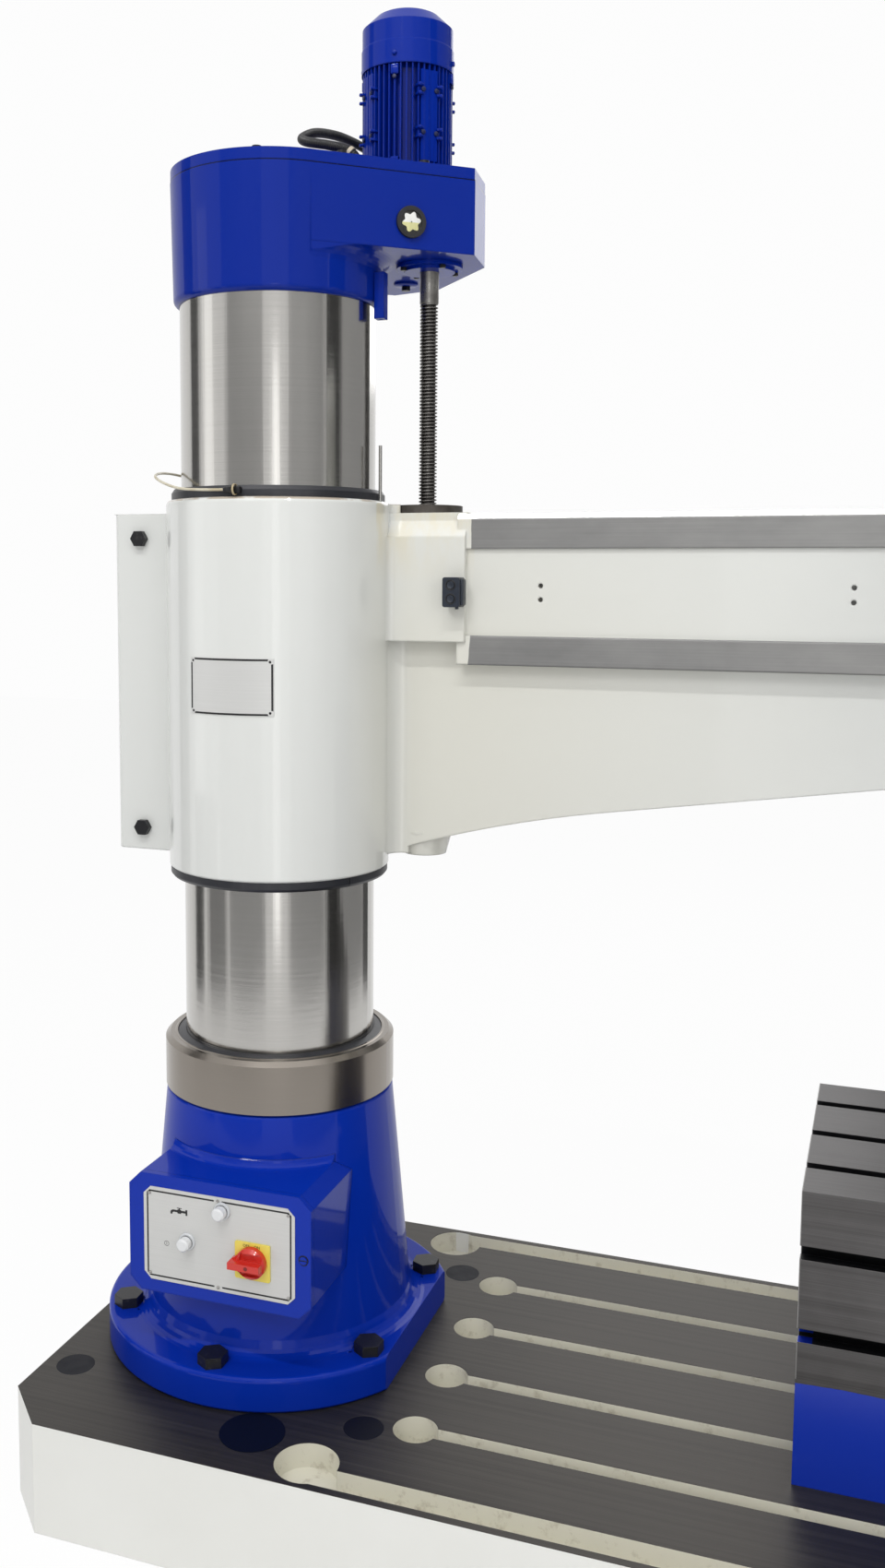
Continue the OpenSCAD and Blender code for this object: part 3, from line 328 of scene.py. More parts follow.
def make_rubber():
    rubber = Finish("wiper_rubber", (0.012, 0.013, 0.018), 0.42)
    dust = rubber.spread(rubber.noise(16.0, 5.0), 0.45, 0.75)
    rubber.set("Base Color", rubber.mix(dust, (0.010, 0.011, 0.016), (0.030, 0.030, 0.036)))
    rubber.set("Normal", rubber.bump(rubber.noise(120.0, 3.0), 0.0002, 1.0, rubber.soft_edges(0.0015)))
    return rubber


# The base: a milled top with tool lines, wider passes and stains, cream paint in its slots and
# gutters and pale paint on its sides.
def make_base_finish():
    base = Finish("base_milled_and_painted", (0.08, 0.078, 0.076), 0.42)
    x, y, z = base.axes()
    top = base.within(z, 0.1945, 0.1955)
    pass_width = 0.011
    fine = base.noise(1.0, 4.0, 0.7, base.stretched((1.2, 900.0, 1.0)))
    passes = base.noise(1.0, 1.0, 0.5, base.stretched((0.15, 1.0 / pass_width, 1.0)))
    stain = base.noise(3.2, 4.0, 0.6)
    worn = base.spread(fine * 0.45 + passes * 0.3 + stain * 0.25, 0.36, 0.64)
    iron = base.mix(worn, (0.030, 0.027, 0.0245), (0.078, 0.072, 0.065))
    dirt = base.spread(base.noise(34.0, 6.0, 0.7), 0.55, 0.75)
    below_top = base.within(z, 0.12, 0.1945)
    inside = below_top * base.within(y, -0.455, 0.455) * (x > 0.17)
    pale = base.mix(base.noise(5.0, 3.0), (0.80, 0.80, 0.77), (0.74, 0.74, 0.70))
    cream = base.mix(dirt * 0.6, (0.70, 0.68, 0.58), (0.26, 0.21, 0.14))
    paint = base.mix(inside, pale, cream)
    base.set("Base Color", base.mix(top, paint, iron))
    base.set("Metallic", top * 0.75)
    base.set("Roughness", base.mix_value(top, 0.38, base.spread(worn, 0.0, 1.0, 0.34, 0.48)))
    height = top * (fine * 0.25 + passes * 0.15) + (1 - top) * base.noise(30.0, 3.0)
    base.set("Normal", base.bump(height, 0.0006, 0.6, base.soft_edges(0.002)))
    return base


# The box table: milled iron above a ragged edge of blue paint, painted shade near black inside its
# slots, blue on the lip of the side slot and a painted highlight along the corner.
def make_table_finish():
    table = Finish("table_milled_and_painted", (0.08, 0.08, 0.08), 0.4)
    x, y, z = table.axes()
    edge = table.noise(9.0, 4.0) * 0.012
    blue = z < 0.358 + edge
    facing = (y < -0.1895) * (z < 0.6745)
    side_lines = table.noise(1.0, 4.0, 0.7, table.stretched((1.2, 1.0, 800.0)))
    side_passes = table.noise(1.0, 1.0, 0.5, table.stretched((0.15, 1.0, 75.0)))
    top_lines = table.noise(1.0, 4.0, 0.7, table.stretched((1.2, 800.0, 1.0)))
    lines = facing * (side_lines * 0.6 + side_passes * 0.4) + (1 - facing) * top_lines
    stain = table.noise(4.0, 4.0, 0.6)
    worn = table.spread(lines * 0.6 + stain * 0.4, 0.36, 0.64)
    iron = table.mix(worn, (0.055, 0.052, 0.052), (0.135, 0.13, 0.13))
    # Painted shade: near black inside the slots.
    slot_shade = (y > -0.1893) * (z < 0.6743) * table.within(x, 0.9625, 1.5915)
    iron = table.mix(slot_shade, iron, (0.012, 0.012, 0.014))
    slot_lip = (x < 0.985) * table.within(z, 0.43, 0.452) * (y > -0.1895)
    iron = table.mix(slot_lip, iron, BLUE)
    # Painted highlight: a bright line along the corner.
    corner_highlight = table.within(x, 0.9619, 0.9634) * (z > 0.37)
    iron = table.mix(corner_highlight, iron, (0.30, 0.295, 0.29))
    table.set("Base Color", table.mix(blue, iron, BLUE))
    table.set("Metallic", (1 - blue) * 0.75)
    table.set("Roughness", table.mix_value(blue, table.spread(worn, 0.0, 1.0, 0.34, 0.46), 0.25))
    table.set("Normal", table.bump(lines * (1 - blue), 0.00025, 0.6, table.soft_edges(0.0015)))
    return table


# The arm: cream enamel with oil stains round the nut, and two ground guideways.
def make_arm_finish():
    arm = Finish("arm_enamel_and_guideways", CREAM, 0.28, Coat_Roughness=0.05)
    x, y, z = arm.axes()
    ragged = arm.noise(160.0, 3.0) * 0.0022 - 0.0011
    upper = arm.within(z + ragged, 1.6605, 1.7135)
    lower = arm.within(z + ragged * 0.5, 1.4565, 1.5095)
    slant = (z - 1.5095) * 0.08 * lower
    front = arm.within(y, 0.0295, 0.0345) * (x > 0.3545 + arm.noise(45.0, 3.0) * 0.002 + slant)
    rail = front * (upper + lower)
    cloud = arm.noise(1.4, 2.0)
    cool = arm.mix(cloud, (0.685, 0.695, 0.675), (0.675, 0.685, 0.66))
    warm = arm.mix(cloud, (0.675, 0.67, 0.61), (0.66, 0.65, 0.58))
    inward = arm.spread(x, 0.17, 0.24) * arm.spread(x, 1.1, 0.35)
    enamel_tone = arm.mix(inward * arm.spread(z, 1.75, 1.45, 0.35, 1.0), cool, warm)
    near_nut = arm.spread(z, 1.60, 1.725) * arm.within(x, 0.20, 0.36) * (y < 0.16)
    stain = arm.spread(arm.noise(1.0, 5.0, 0.6, arm.stretched((26.0, 26.0, 9.0))), 0.40, 0.62) * near_nut
    stained = arm.mix(stain * 0.5, enamel_tone, (0.66, 0.57, 0.33))
    oily_rim = arm.within(z, 1.7405, 1.7452) * arm.spread(arm.noise(30.0, 4.0), 0.40, 0.55)
    stained = arm.mix(oily_rim * 0.6, stained, (0.30, 0.19, 0.08))
    ground = arm.noise(1.0, 3.0, 0.6, arm.stretched((3.0, 1.0, 260.0)))
    mottle = arm.noise(1.0, 4.0, 0.6, arm.stretched((7.0, 1.0, 14.0)))
    worn = arm.spread(ground * 0.35 + mottle * 0.65, 0.35, 0.65)
    iron = arm.mix(worn, (0.235, 0.233, 0.23), (0.30, 0.297, 0.29))
    arm.set("Base Color", arm.mix(rail, stained, iron))
    arm.set("Metallic", rail * 0.6)
    arm.set("Coat Weight", (1 - rail) * 0.8)
    arm.set("Roughness", arm.mix_value(rail, arm.noise(9.0, 2.0) * 0.08 + 0.29, 0.40))
    swell = arm.noise(7.0, 1.0) * 0.2 + arm.noise(95.0, 2.0) * 0.12
    height = (1 - rail) * swell + rail * ground * 0.05
    arm.set("Normal", arm.bump(height, 0.0005, 0.8, arm.soft_edges(0.005)))
    return arm


# Aluminium plate in the XZ plane with a printed black border, broken at its screws.
def bordered_plate(name, left, low, right, high, inset, line, breaks):
    plate_metal = Finish(name, (0.60, 0.60, 0.585), 0.42, 0.2)
    x, _, z = plate_metal.axes()
    brushed = plate_metal.noise(1.0, 3.0, 0.6, plate_metal.stretched((4.0, 4.0, 500.0)))
    tone = plate_metal.mix(brushed, (0.57, 0.57, 0.555), (0.64, 0.64, 0.625))

    def rectangle(gap):
        wide = plate_metal.within(x, left + gap, right - gap)
        return wide * plate_metal.within(z, low + gap, high - gap)

    border = rectangle(inset) - rectangle(inset + line)
    for place_x, place_z, reach in breaks:
        border = border * (plate_metal.distance((place_x, 0, place_z), (1, 0, 1)) > reach)
    plate_metal.set("Base Color", plate_metal.mix(border, tone, (0.010, 0.010, 0.011)))
    plate_metal.set("Normal", plate_metal.bump(brushed, 0.00003, 1.0, plate_metal.soft_edges(0.0005)))
    return plate_metal


def make_panel_finish():
    corners = [(x, z, 0.0125) for x in (-0.124, 0.161) for z in (0.396, 0.563)]
    middles = [(0.0185, z, 0.0075) for z in (0.4025, 0.5565)]
    return bordered_plate(
        "panel_aluminium", -0.124, 0.396, 0.161, 0.563, inset=0.0060, line=0.0030, breaks=corners + middles)


def make_rating_plate_finish():
    corners = [(x, z, 0.0055) for x in (-0.080, 0.071) for z in (1.378, 1.468)]
    return bordered_plate(
        "plate_aluminium", -0.084, 1.374, 0.075, 1.472, inset=0.0008, line=0.0034, breaks=corners)


# Bright steel whose far end or knob is black plastic.
def steel_with_knob(name, black):
    steel = Finish(name, STEEL, 0.28, 1.0)
    knob = black(steel)
    cloud = steel.noise(40.0, 3.0)
    metal = steel.mix(steel.spread(cloud, 0.3, 0.7), (0.45, 0.44, 0.42), (0.55, 0.54, 0.52))
    steel.set("Base Color", steel.mix(knob, metal, (0.013, 0.013, 0.014)))
    steel.set("Metallic", 1 - knob)
    steel.set("Roughness", steel.mix_value(knob, steel.spread(cloud, 0.3, 0.7, 0.19, 0.26), 0.3))
    steel.set("Normal", steel.bump(cloud, 0.00001, 1.0, steel.soft_edges(0.0008)))
    return steel


def black_beyond(radius, centre):
    return lambda finish: finish.distance(centre, (1, 0, 1)) > radius


def make_hose_finish():
    hose = Finish("conduit_black", (0.010, 0.010, 0.011), 0.36)
    dust = hose.spread(hose.noise(40.0, 4.0), 0.5, 0.75)
    hose.set("Base Color", hose.mix(dust, (0.009, 0.009, 0.010), (0.028, 0.027, 0.026)))
    hose.set("Normal", hose.bump(hose.noise(400.0, 2.0), 0.00005))
    return hose


def make_nylon_finish():
    nylon = Finish("grease_line_nylon", (0.55, 0.50, 0.38), 0.35)
    tint = nylon.spread(nylon.noise(30.0, 3.0), 0.35, 0.65)
    nylon.set("Base Color", nylon.mix(tint, (0.60, 0.56, 0.44), (0.46, 0.40, 0.27)))
    return nylon


# Six-lobed reflector of the sight glass: white above the oil line, pale yellow in the oil.
def make_star_finish():
    star = Finish("sight_glass_star", (0.75, 0.75, 0.72), 0.35, Coat_Weight=0.5)
    z = star.axes()[2]
    wave = star.noise(160.0, 2.0) * 0.001
    oil = star.mix(star.noise(60.0, 3.0), (0.70, 0.68, 0.34), (0.60, 0.57, 0.26))
    star.set("Base Color", star.mix(z < 2.2096 + wave, (0.76, 0.76, 0.73), oil))
    star.set("Normal", star.bump(star.noise(200.0, 2.0), 0.0001))
    return star


FINISHES = {
    "blue": blue_enamel("blue_enamel"),
    # Painted shade: the gearbox and the motor parts wear darker copies of the pedestal's blue.
    "gearbox": blue_enamel("gearbox_painted_shade_blue_enamel", seam=(2.2921, 2.2937), shade=0.71),
    "upper_shaded_blue": blue_enamel("motor_painted_shade_blue_enamel", shade=0.76),
    "cream": make_cream_enamel(),
    "column": make_column_steel(),
    "ring": make_ring_steel(),
    "steel": make_bright_steel(),
    "screw": make_screw_steel(),
    "iron": make_dark_iron(),
    "oxide": make_black_oxide(),
    "rubber": make_rubber(),
    "base": make_base_finish(),
    "table": make_table_finish(),
    "arm": make_arm_finish(),
    "panel": make_panel_finish(),
    "rating_plate": make_rating_plate_finish(),
    "feed": steel_with_knob("feed_lever_steel", black_beyond(0.134, (1.520, 0, 1.400))),
    "lever": steel_with_knob("spindle_lever_steel", black_beyond(0.111, (1.295, 0, 1.390))),
    "wheel": steel_with_knob("handwheel_steel", lambda finish: finish.axes()[1] < -0.379),
    "hose": make_hose_finish(),
    "nylon": make_nylon_finish(),
    "black_plastic": plastic("black_plastic", (0.015, 0.015, 0.017), 0.4),
    "navy_plastic": plastic("switch_navy_plastic", (0.012, 0.018, 0.031), 0.42),
    "white_plastic": plastic("button_white_plastic", (0.74, 0.75, 0.76), 0.34, coat=0.4),
    "yellow": plastic("switch_yellow_plastic", (0.82, 0.68, 0.10), 0.34, coat=0.2),
    "red": plastic("switch_red_plastic", (0.62, 0.022, 0.012), 0.34, coat=0.35),
    "green": plastic("button_green_plastic", (0.02, 0.26, 0.06), 0.34, coat=0.2),
    "tank": plastic("tank_cover_dark", (0.0035, 0.005, 0.013), 0.34, gloss=0.12),
    "plug": plastic("plug_dark_iron", (0.006, 0.0065, 0.011), 0.42, gloss=0.12),
    "star": make_star_finish(),
    "glass": plastic("sight_glass_dark", (0.020, 0.020, 0.018), 0.12, coat=0.6),
    "clear": plastic("collar_clear_plastic", (0.62, 0.64, 0.66), 0.12, coat=0.6),
    # Black ink for the markings, also used as the painted shade in the lock's slot.
    "ink_and_slot_shade": plastic("marking_ink_and_slot_shade", (0.012, 0.012, 0.013), 0.5),
    "white_ink": plastic("marking_white", (0.78, 0.78, 0.77), 0.45),
    "oil": plastic("level_glass_oil", (0.66, 0.62, 0.28), 0.12, coat=0.6),
    # Painted shade: a dark navy for the lug screws, standing in for the shade of their holes.
    "lug_screw_shade_navy": plastic("lug_screw_painted_shade_navy", (0.003, 0.008, 0.06), 0.4),
    # Painted shade: a darker red for the handle's centre dimple round its screw.
    "handle_shade_red": plastic("handle_screw_shaded_red", (0.22, 0.012, 0.010), 0.4),
    "clip": plastic("clip_beige", (0.42, 0.34, 0.20), 0.4),
    "ferrule": plastic("ferrule_beige", (0.55, 0.48, 0.36), 0.45),
}


def wear(node, finish):
    mesh = NODES[node].data
    mesh.materials.clear()
    mesh.materials.append(FINISHES[finish].material)


NODE_FINISH = {
    "base": "base_plate",
    "plug": "foundation_plugs",
    "tank": "tank_cover",
    "blue": "pedestal electrical_box box_door door_lock",
    # The upper parts wear the darker copies of the blue, as painted shade.
    "upper_shaded_blue": "lift_motor terminal_box fan_cowl screw_bearing_cap limit_switch",
    "gearbox": "lift_gearbox gearbox_cover",
    "oxide": "pedestal_bolts table_bolts cover_screws drain_plug ear_bolts",
    "column": "inner_column outer_column",
    "ring": "clamp_ring",
    "steel": "column_bearings motor_rotor lift_gear arm_key trip_rod rack traverse_pinion quill spindle",
    "wheel": "traverse_handwheel",
    "feed": "feed_handle",
    "lever": "spindle_lever",
    "table": "box_table",
    "panel": "panel_plate",
    "rating_plate": "sleeve_plate",
    "yellow": "switch_plate",
    "red": "switch_handle stop_button",
    "white_plastic": "upper_button lower_button",
    "rubber": "ring_wiper upper_wiper lower_wiper",
    "hose": "conduit",
    "black_plastic": "sight_glass_ring speed_dial",
    "glass": "sight_glass",
    "screw": "lift_screw",
    "arm": "arm",
    "iron": "lift_nut head_keeper",
    "navy_plastic": "arm_switch_box arm_switch_upper arm_switch_lower",
    "nylon": "grease_line",
    "cream": "drill_head head_motor",
    "green": "start_button",
}
for finish_name, names in NODE_FINISH.items():
    for node_name in names.split():
        wear(node_name, finish_name)


# Mesh helpers: every piece is shaped with bmesh operators, in millimetres, then scaled to metres.
def shape():
    return bmesh.new()


def move(bm, verts, matrix):
    bmesh.ops.transform(bm, matrix=matrix, verts=verts)


def lathe(bm, profile, steps=48, at=Matrix.Identity(4)):
    """Radii and heights turned about Z, closed at the seam and the poles, then put in place."""
    before = set(bm.verts)
    verts = [bm.verts.new((r, 0, z)) for r, z in profile]
    edges = [bm.edges.new(pair) for pair in zip(verts, verts[1:])]
    bmesh.ops.spin(
        bm, geom=verts + edges, cent=(0, 0, 0), axis=(0, 0, 1),
        angle=math.tau, steps=steps, use_merge=True)
    bmesh.ops.remove_doubles(bm, verts=[v for v in bm.verts if v not in before], dist=1e-3)
    move(bm, [v for v in bm.verts if v not in before], at)


def soften(bm, edges, bevel):
    bmesh.ops.bevel(
        bm, geom=edges, offset=bevel, offset_type="OFFSET", segments=2, profile=0.5,
        affect="EDGES", material=-1)


def block(bm, size, centre, bevel=0.0, at=Matrix.Identity(4)):
    made = bmesh.ops.create_cube(bm, size=1.0)["verts"]
    move(bm, made, at @ Matrix.Translation(centre) @ Matrix.Diagonal((*size, 1.0)))
    if bevel > 0:
        soften(bm, list({e for v in made for e in v.link_edges}), bevel)


def plate(bm, outline, low, high, bevel=0.0, at=Matrix.Identity(4)):
    face = bm.faces.new([bm.verts.new(at @ Vector((x, y, low))) for x, y in outline])
    grown = bmesh.ops.extrude_face_region(bm, geom=[face])["geom"]
    tops = [v for v in grown if isinstance(v, bmesh.types.BMVert)]
    bmesh.ops.translate(bm, verts=tops, vec=at.to_3x3() @ Vector((0, 0, high - low)))
    if bevel > 0:
        rim = [f for f in grown if isinstance(f, bmesh.types.BMFace)]
        soften(bm, list({e for f in rim for e in f.edges}), bevel)


def hexagon(radius):
    angles = [math.tau * k / 6 for k in range(6)]
    return [(radius * math.cos(angle), radius * math.sin(angle)) for angle in angles]


def ring(bm, outer, inner, height, at, chamfer=0.6, steps=40):
    section = [
        (inner, 0), (outer, 0), (outer, height - chamfer),
        (outer - chamfer, height), (inner, height), (inner, 0),
    ]
    lathe(bm, section, steps, at)


def hex_head(bm, across, height, at):
    """Hexagon head with a domed top, on a thin bearing collar."""
    collar = [(0, 0), (across * 0.49, 0), (across * 0.49, height * 0.15), (0, height * 0.15)]
    dome = [
        (0, height * 0.85), (across * 0.46, height * 0.85), (across * 0.42, height * 0.97),
        (across * 0.3, height), (0, height),
    ]
    lathe(bm, collar, 24, at)
    plate(bm, hexagon(across / math.sqrt(3)), height * 0.1, height * 0.9, height * 0.08, at)
    lathe(bm, dome, 24, at)


def slotted_head(bm, radius, height, at):
    """Round head with a screwdriver slot, as two halves with the slot between them."""
    for half in (0, math.pi):
        turn = Matrix.Rotation(half, 4, "Z")
        angles = (0.18, 0.7, 1.2, 1.57, 1.94, 2.44, 2.96)
        arc = [(radius * math.cos(angle), radius * math.sin(angle)) for angle in angles]
        plate(bm, arc, 0, height, height * 0.3, at @ turn)
    lathe(bm, [(0, 0), (radius, 0), (radius, height * 0.35), (0, height * 0.35)], 20, at)


def lettering(bm, words, size, at):
    curve = bpy.data.curves.new("lettering", "FONT")
    curve.body = words
    curve.size = size
    curve.extrude = 0.12
    curve.align_x = "CENTER"
    curve.align_y = "CENTER"
    holder = bpy.data.objects.new("lettering", curve)
    bpy.context.scene.collection.objects.link(holder)
    mesh = bpy.data.meshes.new_from_object(holder)
    bpy.data.objects.remove(holder)
    before = set(bm.verts)
    bm.from_mesh(mesh)
    bpy.data.meshes.remove(mesh)
    move(bm, [v for v in bm.verts if v not in before], at)


def finish_piece(bm, name, body, finish, about=Matrix.Identity(4), smooth=40):
    """The finished mesh as a piece in metres, riding on a body, smooth up to an angle in degrees."""
    bmesh.ops.remove_doubles(bm, verts=bm.verts, dist=1e-4)
    bmesh.ops.recalc_face_normals(bm, faces=bm.faces)
    bmesh.ops.transform(bm, matrix=Matrix.Diagonal((MM, MM, MM, 1)) @ about, verts=bm.verts)
    mesh = bpy.data.meshes.new(name)
    bm.to_mesh(mesh)
    bm.free()
    for face in mesh.polygons:
        face.use_smooth = True
    mesh.set_sharp_from_angle(angle=math.radians(smooth))
    mesh.materials.append(FINISHES[finish].material)
    piece = bpy.data.objects.new(name, mesh)
    bpy.context.scene.collection.objects.link(piece)
    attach(piece, body)
    return piece


def facing_front(x, y, z):
    """A frame whose Z looks to the front (-Y), with X to the right and Y up."""
    return Matrix.Translation((x, y, z)) @ Matrix.Rotation(math.radians(90), 4, "X")


def on_wall(axis, degrees, z, radius):
    """A frame on a round wall: Z looks outwards, X runs round the wall and Y up."""
    outwards = Matrix(((0, 0, 1, 0), (1, 0, 0, 0), (0, 1, 0, 0), (0, 0, 0, 1)))
    turn = Matrix.Rotation(math.radians(degrees), 4, "Z")
    return Matrix.Translation((*axis, z)) @ turn @ Matrix.Translation((radius, 0, 0)) @ outwards


def upright(x, y, z):
    return Matrix.Translation((x, y, z))


def hanging(x, y, z):
    return Matrix.Translation((x, y, z)) @ Matrix.Rotation(math.pi, 4, "X")


# Lift screw: neck, thread of 6 mm pitch and a chamfered end.
def make_lift_screw():
    bm = shape()
    neck = [(0, 2270), (17, 2270), (17, 2101), (15.6, 2099), (0, 2099)]
    core = [(0, 1345), (11.5, 1345), (12.6, 1348), (12.6, 2100), (0, 2100)]
    lathe(bm, neck, 40)
    lathe(bm, core, 32)
    turns = 125
    steps_per_turn = 24
    pitch = 6.0
    low = 1347.0
    profile = [(12.5, 0.0), (16.4, 1.2), (16.4, 2.9), (12.5, 4.1)]
    first = [bm.verts.new((r, 0, low + h)) for r, h in profile]
    edges = [bm.edges.new(pair) for pair in zip(first, first[1:] + first[:1])]
    last = bmesh.ops.spin(
        bm, geom=first + edges, cent=(0, 0, 0), axis=(0, 0, 1), dvec=(0, 0, pitch / steps_per_turn),
        angle=math.tau * turns, steps=turns * steps_per_turn, use_merge=False)["geom_last"]
    bmesh.ops.contextual_create(bm, geom=first)
    bmesh.ops.contextual_create(bm, geom=[v for v in last if isinstance(v, bmesh.types.BMVert)])
    piece = finish_piece(
        bm, "lift_screw_threaded", "screw", "screw", upright(*SCREW_AXIS, 0), smooth=50)
    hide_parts("lift_screw")


make_lift_screw()


# Ribbed conduit from the terminal box to the cover, and the grease line from the sleeve's ring
# round the back of the column.
CONDUIT_ROUTE = [
    (124.5, 266.8, 2412), (106.6, 265.8, 2412), (82, 246, 2419), (62, 212, 2427), (44, 168, 2429),
    (26, 112, 2420), (15, 76, 2402), (32, 56, 2388), (76, 52, 2377), (112, 54, 2366), (128, 56, 2350),
    (130, 56, 2341), (130, 56, 2323),
]
GREASE_ROUTE = [
    (4, -200, 1756), (-40, -201, 1756), (-100, -186, 1760), (-150, -154, 1772), (-190, -112, 1786),
    (-212, -60, 1796), (-220, 0, 1800), (-212, 60, 1796), (-180, 108, 1784), (-140, 140, 1764),
    (-132, 146, 1752),
]


def spline(points, steps):
    """A smooth path through the points."""
    route = [Vector(p) for p in points]
    path = []
    for i in range(len(route) - 1):
        a, b = route[max(i - 1, 0)], route[i]
        c, d = route[i + 1], route[min(i + 2, len(route) - 1)]
        for k in range(steps):
            t = k / steps
            path.append(0.5 * (2 * b + (c - a) * t + (2 * a - 5 * b + 4 * c - d) * t ** 2
                               + (3 * b - a - 3 * c + d) * t ** 3))
    return path + [route[-1]]


def evenly(path, gap):
    """The same path with its points one gap apart."""
    made = [path[0]]
    left = gap
    for a, b in zip(path, path[1:]):
        span = (b - a).length
        walked = 0.0
        while span - walked > left:
            walked += left
            made.append(a.lerp(b, walked / span))
            left = gap
        left -= span - walked
    return made + [path[-1]]


def hose(bm, path, radii, sides):
    """Rings of the given radii along a path, bridged one to the next."""
    before = None
    ends = []
    side = Vector((0.1, 0.2, 1.0))
    for i, (point, radius) in enumerate(zip(path, radii)):
        ahead = (path[min(i + 1, len(path) - 1)] - path[max(i - 1, 0)]).normalized()
        across = ahead.cross(side).normalized()
        side = across.cross(ahead).normalized()
        turn = Matrix((across, side, ahead)).transposed().to_4x4()
        circle = bmesh.ops.create_circle(bm, segments=sides, radius=radius, cap_ends=False)["verts"]
        move(bm, circle, Matrix.Translation(point) @ turn)
        loop = list({e for v in circle for e in v.link_edges if e.other_vert(v) in circle})
        if before:
            bmesh.ops.bridge_loops(bm, edges=before + loop)
        else:
            ends.append(circle)
        before = loop
    ends.append(circle)
    for circle in ends:
        bmesh.ops.contextual_create(bm, geom=circle)


def make_conduit():
    path = evenly(spline(CONDUIT_ROUTE, 16), 0.9)
    valley = 7.4
    rib = (0.0, 1.235, 1.3, 1.235)
    radii = [valley + rib[i % len(rib)] for i in range(len(path))]
    bm = shape()
    hose(bm, path, radii, 16)
    piece = finish_piece(bm, "conduit_ribbed", "column", "hose", smooth=70)
    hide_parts("conduit")


def make_grease_line():
    path = evenly(spline(GREASE_ROUTE, 12), 4.0)
    radius = 2.4
    bm = shape()
    hose(bm, path, [radius] * len(path), 12)
    piece = finish_piece(bm, "grease_line_tube", "arm_body", "nylon", smooth=70)
    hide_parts("grease_line")


make_conduit()
make_grease_line()


def make_hose_fittings():
    bm = shape()
    lower = upright(130, 56, 2322)
    along = Matrix.Rotation(math.radians(-87), 4, "Y")
    upper = upright(128, 267, 2412) @ Matrix.Rotation(math.radians(3), 4, "Z") @ along
    for at, seat, top in ((lower, 0, 9), (upper, -4, 6)):
        nose = [
            (0, top), (12.5, top), (12.5, top + 5), (10.4, top + 9), (8.9, top + 9), (8.9, top + 1),
            (0, top + 1),
        ]
        plate(bm, hexagon(14.5), seat, top, 1.0, at)
        lathe(bm, nose, 32, at)
    finish_piece(bm, "conduit_glands", "column", "black_plastic")

    bm = shape()
    start = upright(8, -200, 1756) @ Matrix.Rotation(math.radians(-90), 4, "Y")
    plate(bm, hexagon(7.0), 1, 8, 0.6, start)
    sleeve = [
        (0, 0), (5.6, 0), (5.6, 10), (4.8, 11), (4.8, 15), (3.4, 20), (2.5, 20), (2.5, 19), (0, 19),
    ]
    lathe(bm, sleeve, 24, start)
    block(bm, (11, 12, 12), (13, -196, 1755.5), 2.0)
    finish_piece(bm, "grease_fitting", "arm_body", "oxide")

    bm = shape()
    loop = upright(9, -200, 1756) @ Matrix.Rotation(math.radians(90), 4, "Y")
    lathe(bm, [(8.2, -1.6), (9.6, -1.6), (9.6, 1.6), (8.2, 1.6), (8.2, -1.6)], 28, loop)
    finish_piece(bm, "grease_line_clip", "arm_body", "clip")

    bm = shape()
    bend = upright(117, 55, 2362) @ Matrix.Rotation(math.radians(128), 4, "Y")
    lathe(bm, [(8.9, -3.5), (9.7, -3.5), (9.7, 3.5), (8.9, 3.5), (8.9, -3.5)], 28, bend)
    finish_piece(bm, "conduit_ferrule", "column", "ferrule")


make_hose_fittings()


# Lift gearbox: reflector of the sight glass with its pin, bolts of the bearing cap, drain boss
GEARBOX_ANGLE = math.radians(41)


def make_gearbox_details():
    turn = Matrix.Rotation(GEARBOX_ANGLE, 4, "Z")
    window = turn @ facing_front(178, -189.5, 2211)
    points = 72
    outline = []
    for k in range(points):
        angle = math.tau * k / points
        lobe = 14.9 + 2.5 * math.cos(6 * angle)
        outline.append((lobe * math.cos(angle + 0.2), lobe * math.sin(angle + 0.2)))
    bm = shape()
    plate(bm, outline, 4.02, 4.6, 0.15, window)
    finish_piece(bm, "sight_glass_star", "column", "star")

    bm = shape()
    lathe(bm, [(0, 4.5), (1.1, 4.5), (1.1, 5.1), (0, 5.2)], 16, window)
    bolt_circle = 52
    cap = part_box("screw_bearing_cap")[0][2] / MM
    for k in range(4):
        angle = math.radians(45 + 90 * k)
        x = SCREW_AXIS[0] + bolt_circle * math.cos(angle)
        y = SCREW_AXIS[1] + bolt_circle * math.sin(angle)
        hex_head(bm, 10, 6, hanging(x, y, cap + 5))
    finish_piece(bm, "bearing_cap_bolts", "column", "oxide")

    bm = shape()
    lathe(bm, [(0, -0.5), (23, -0.5), (23, 3), (20, 5), (0, 5)], 40, hanging(157, 242, 2167))
    finish_piece(bm, "drain_boss", "column", "upper_shaded_blue")


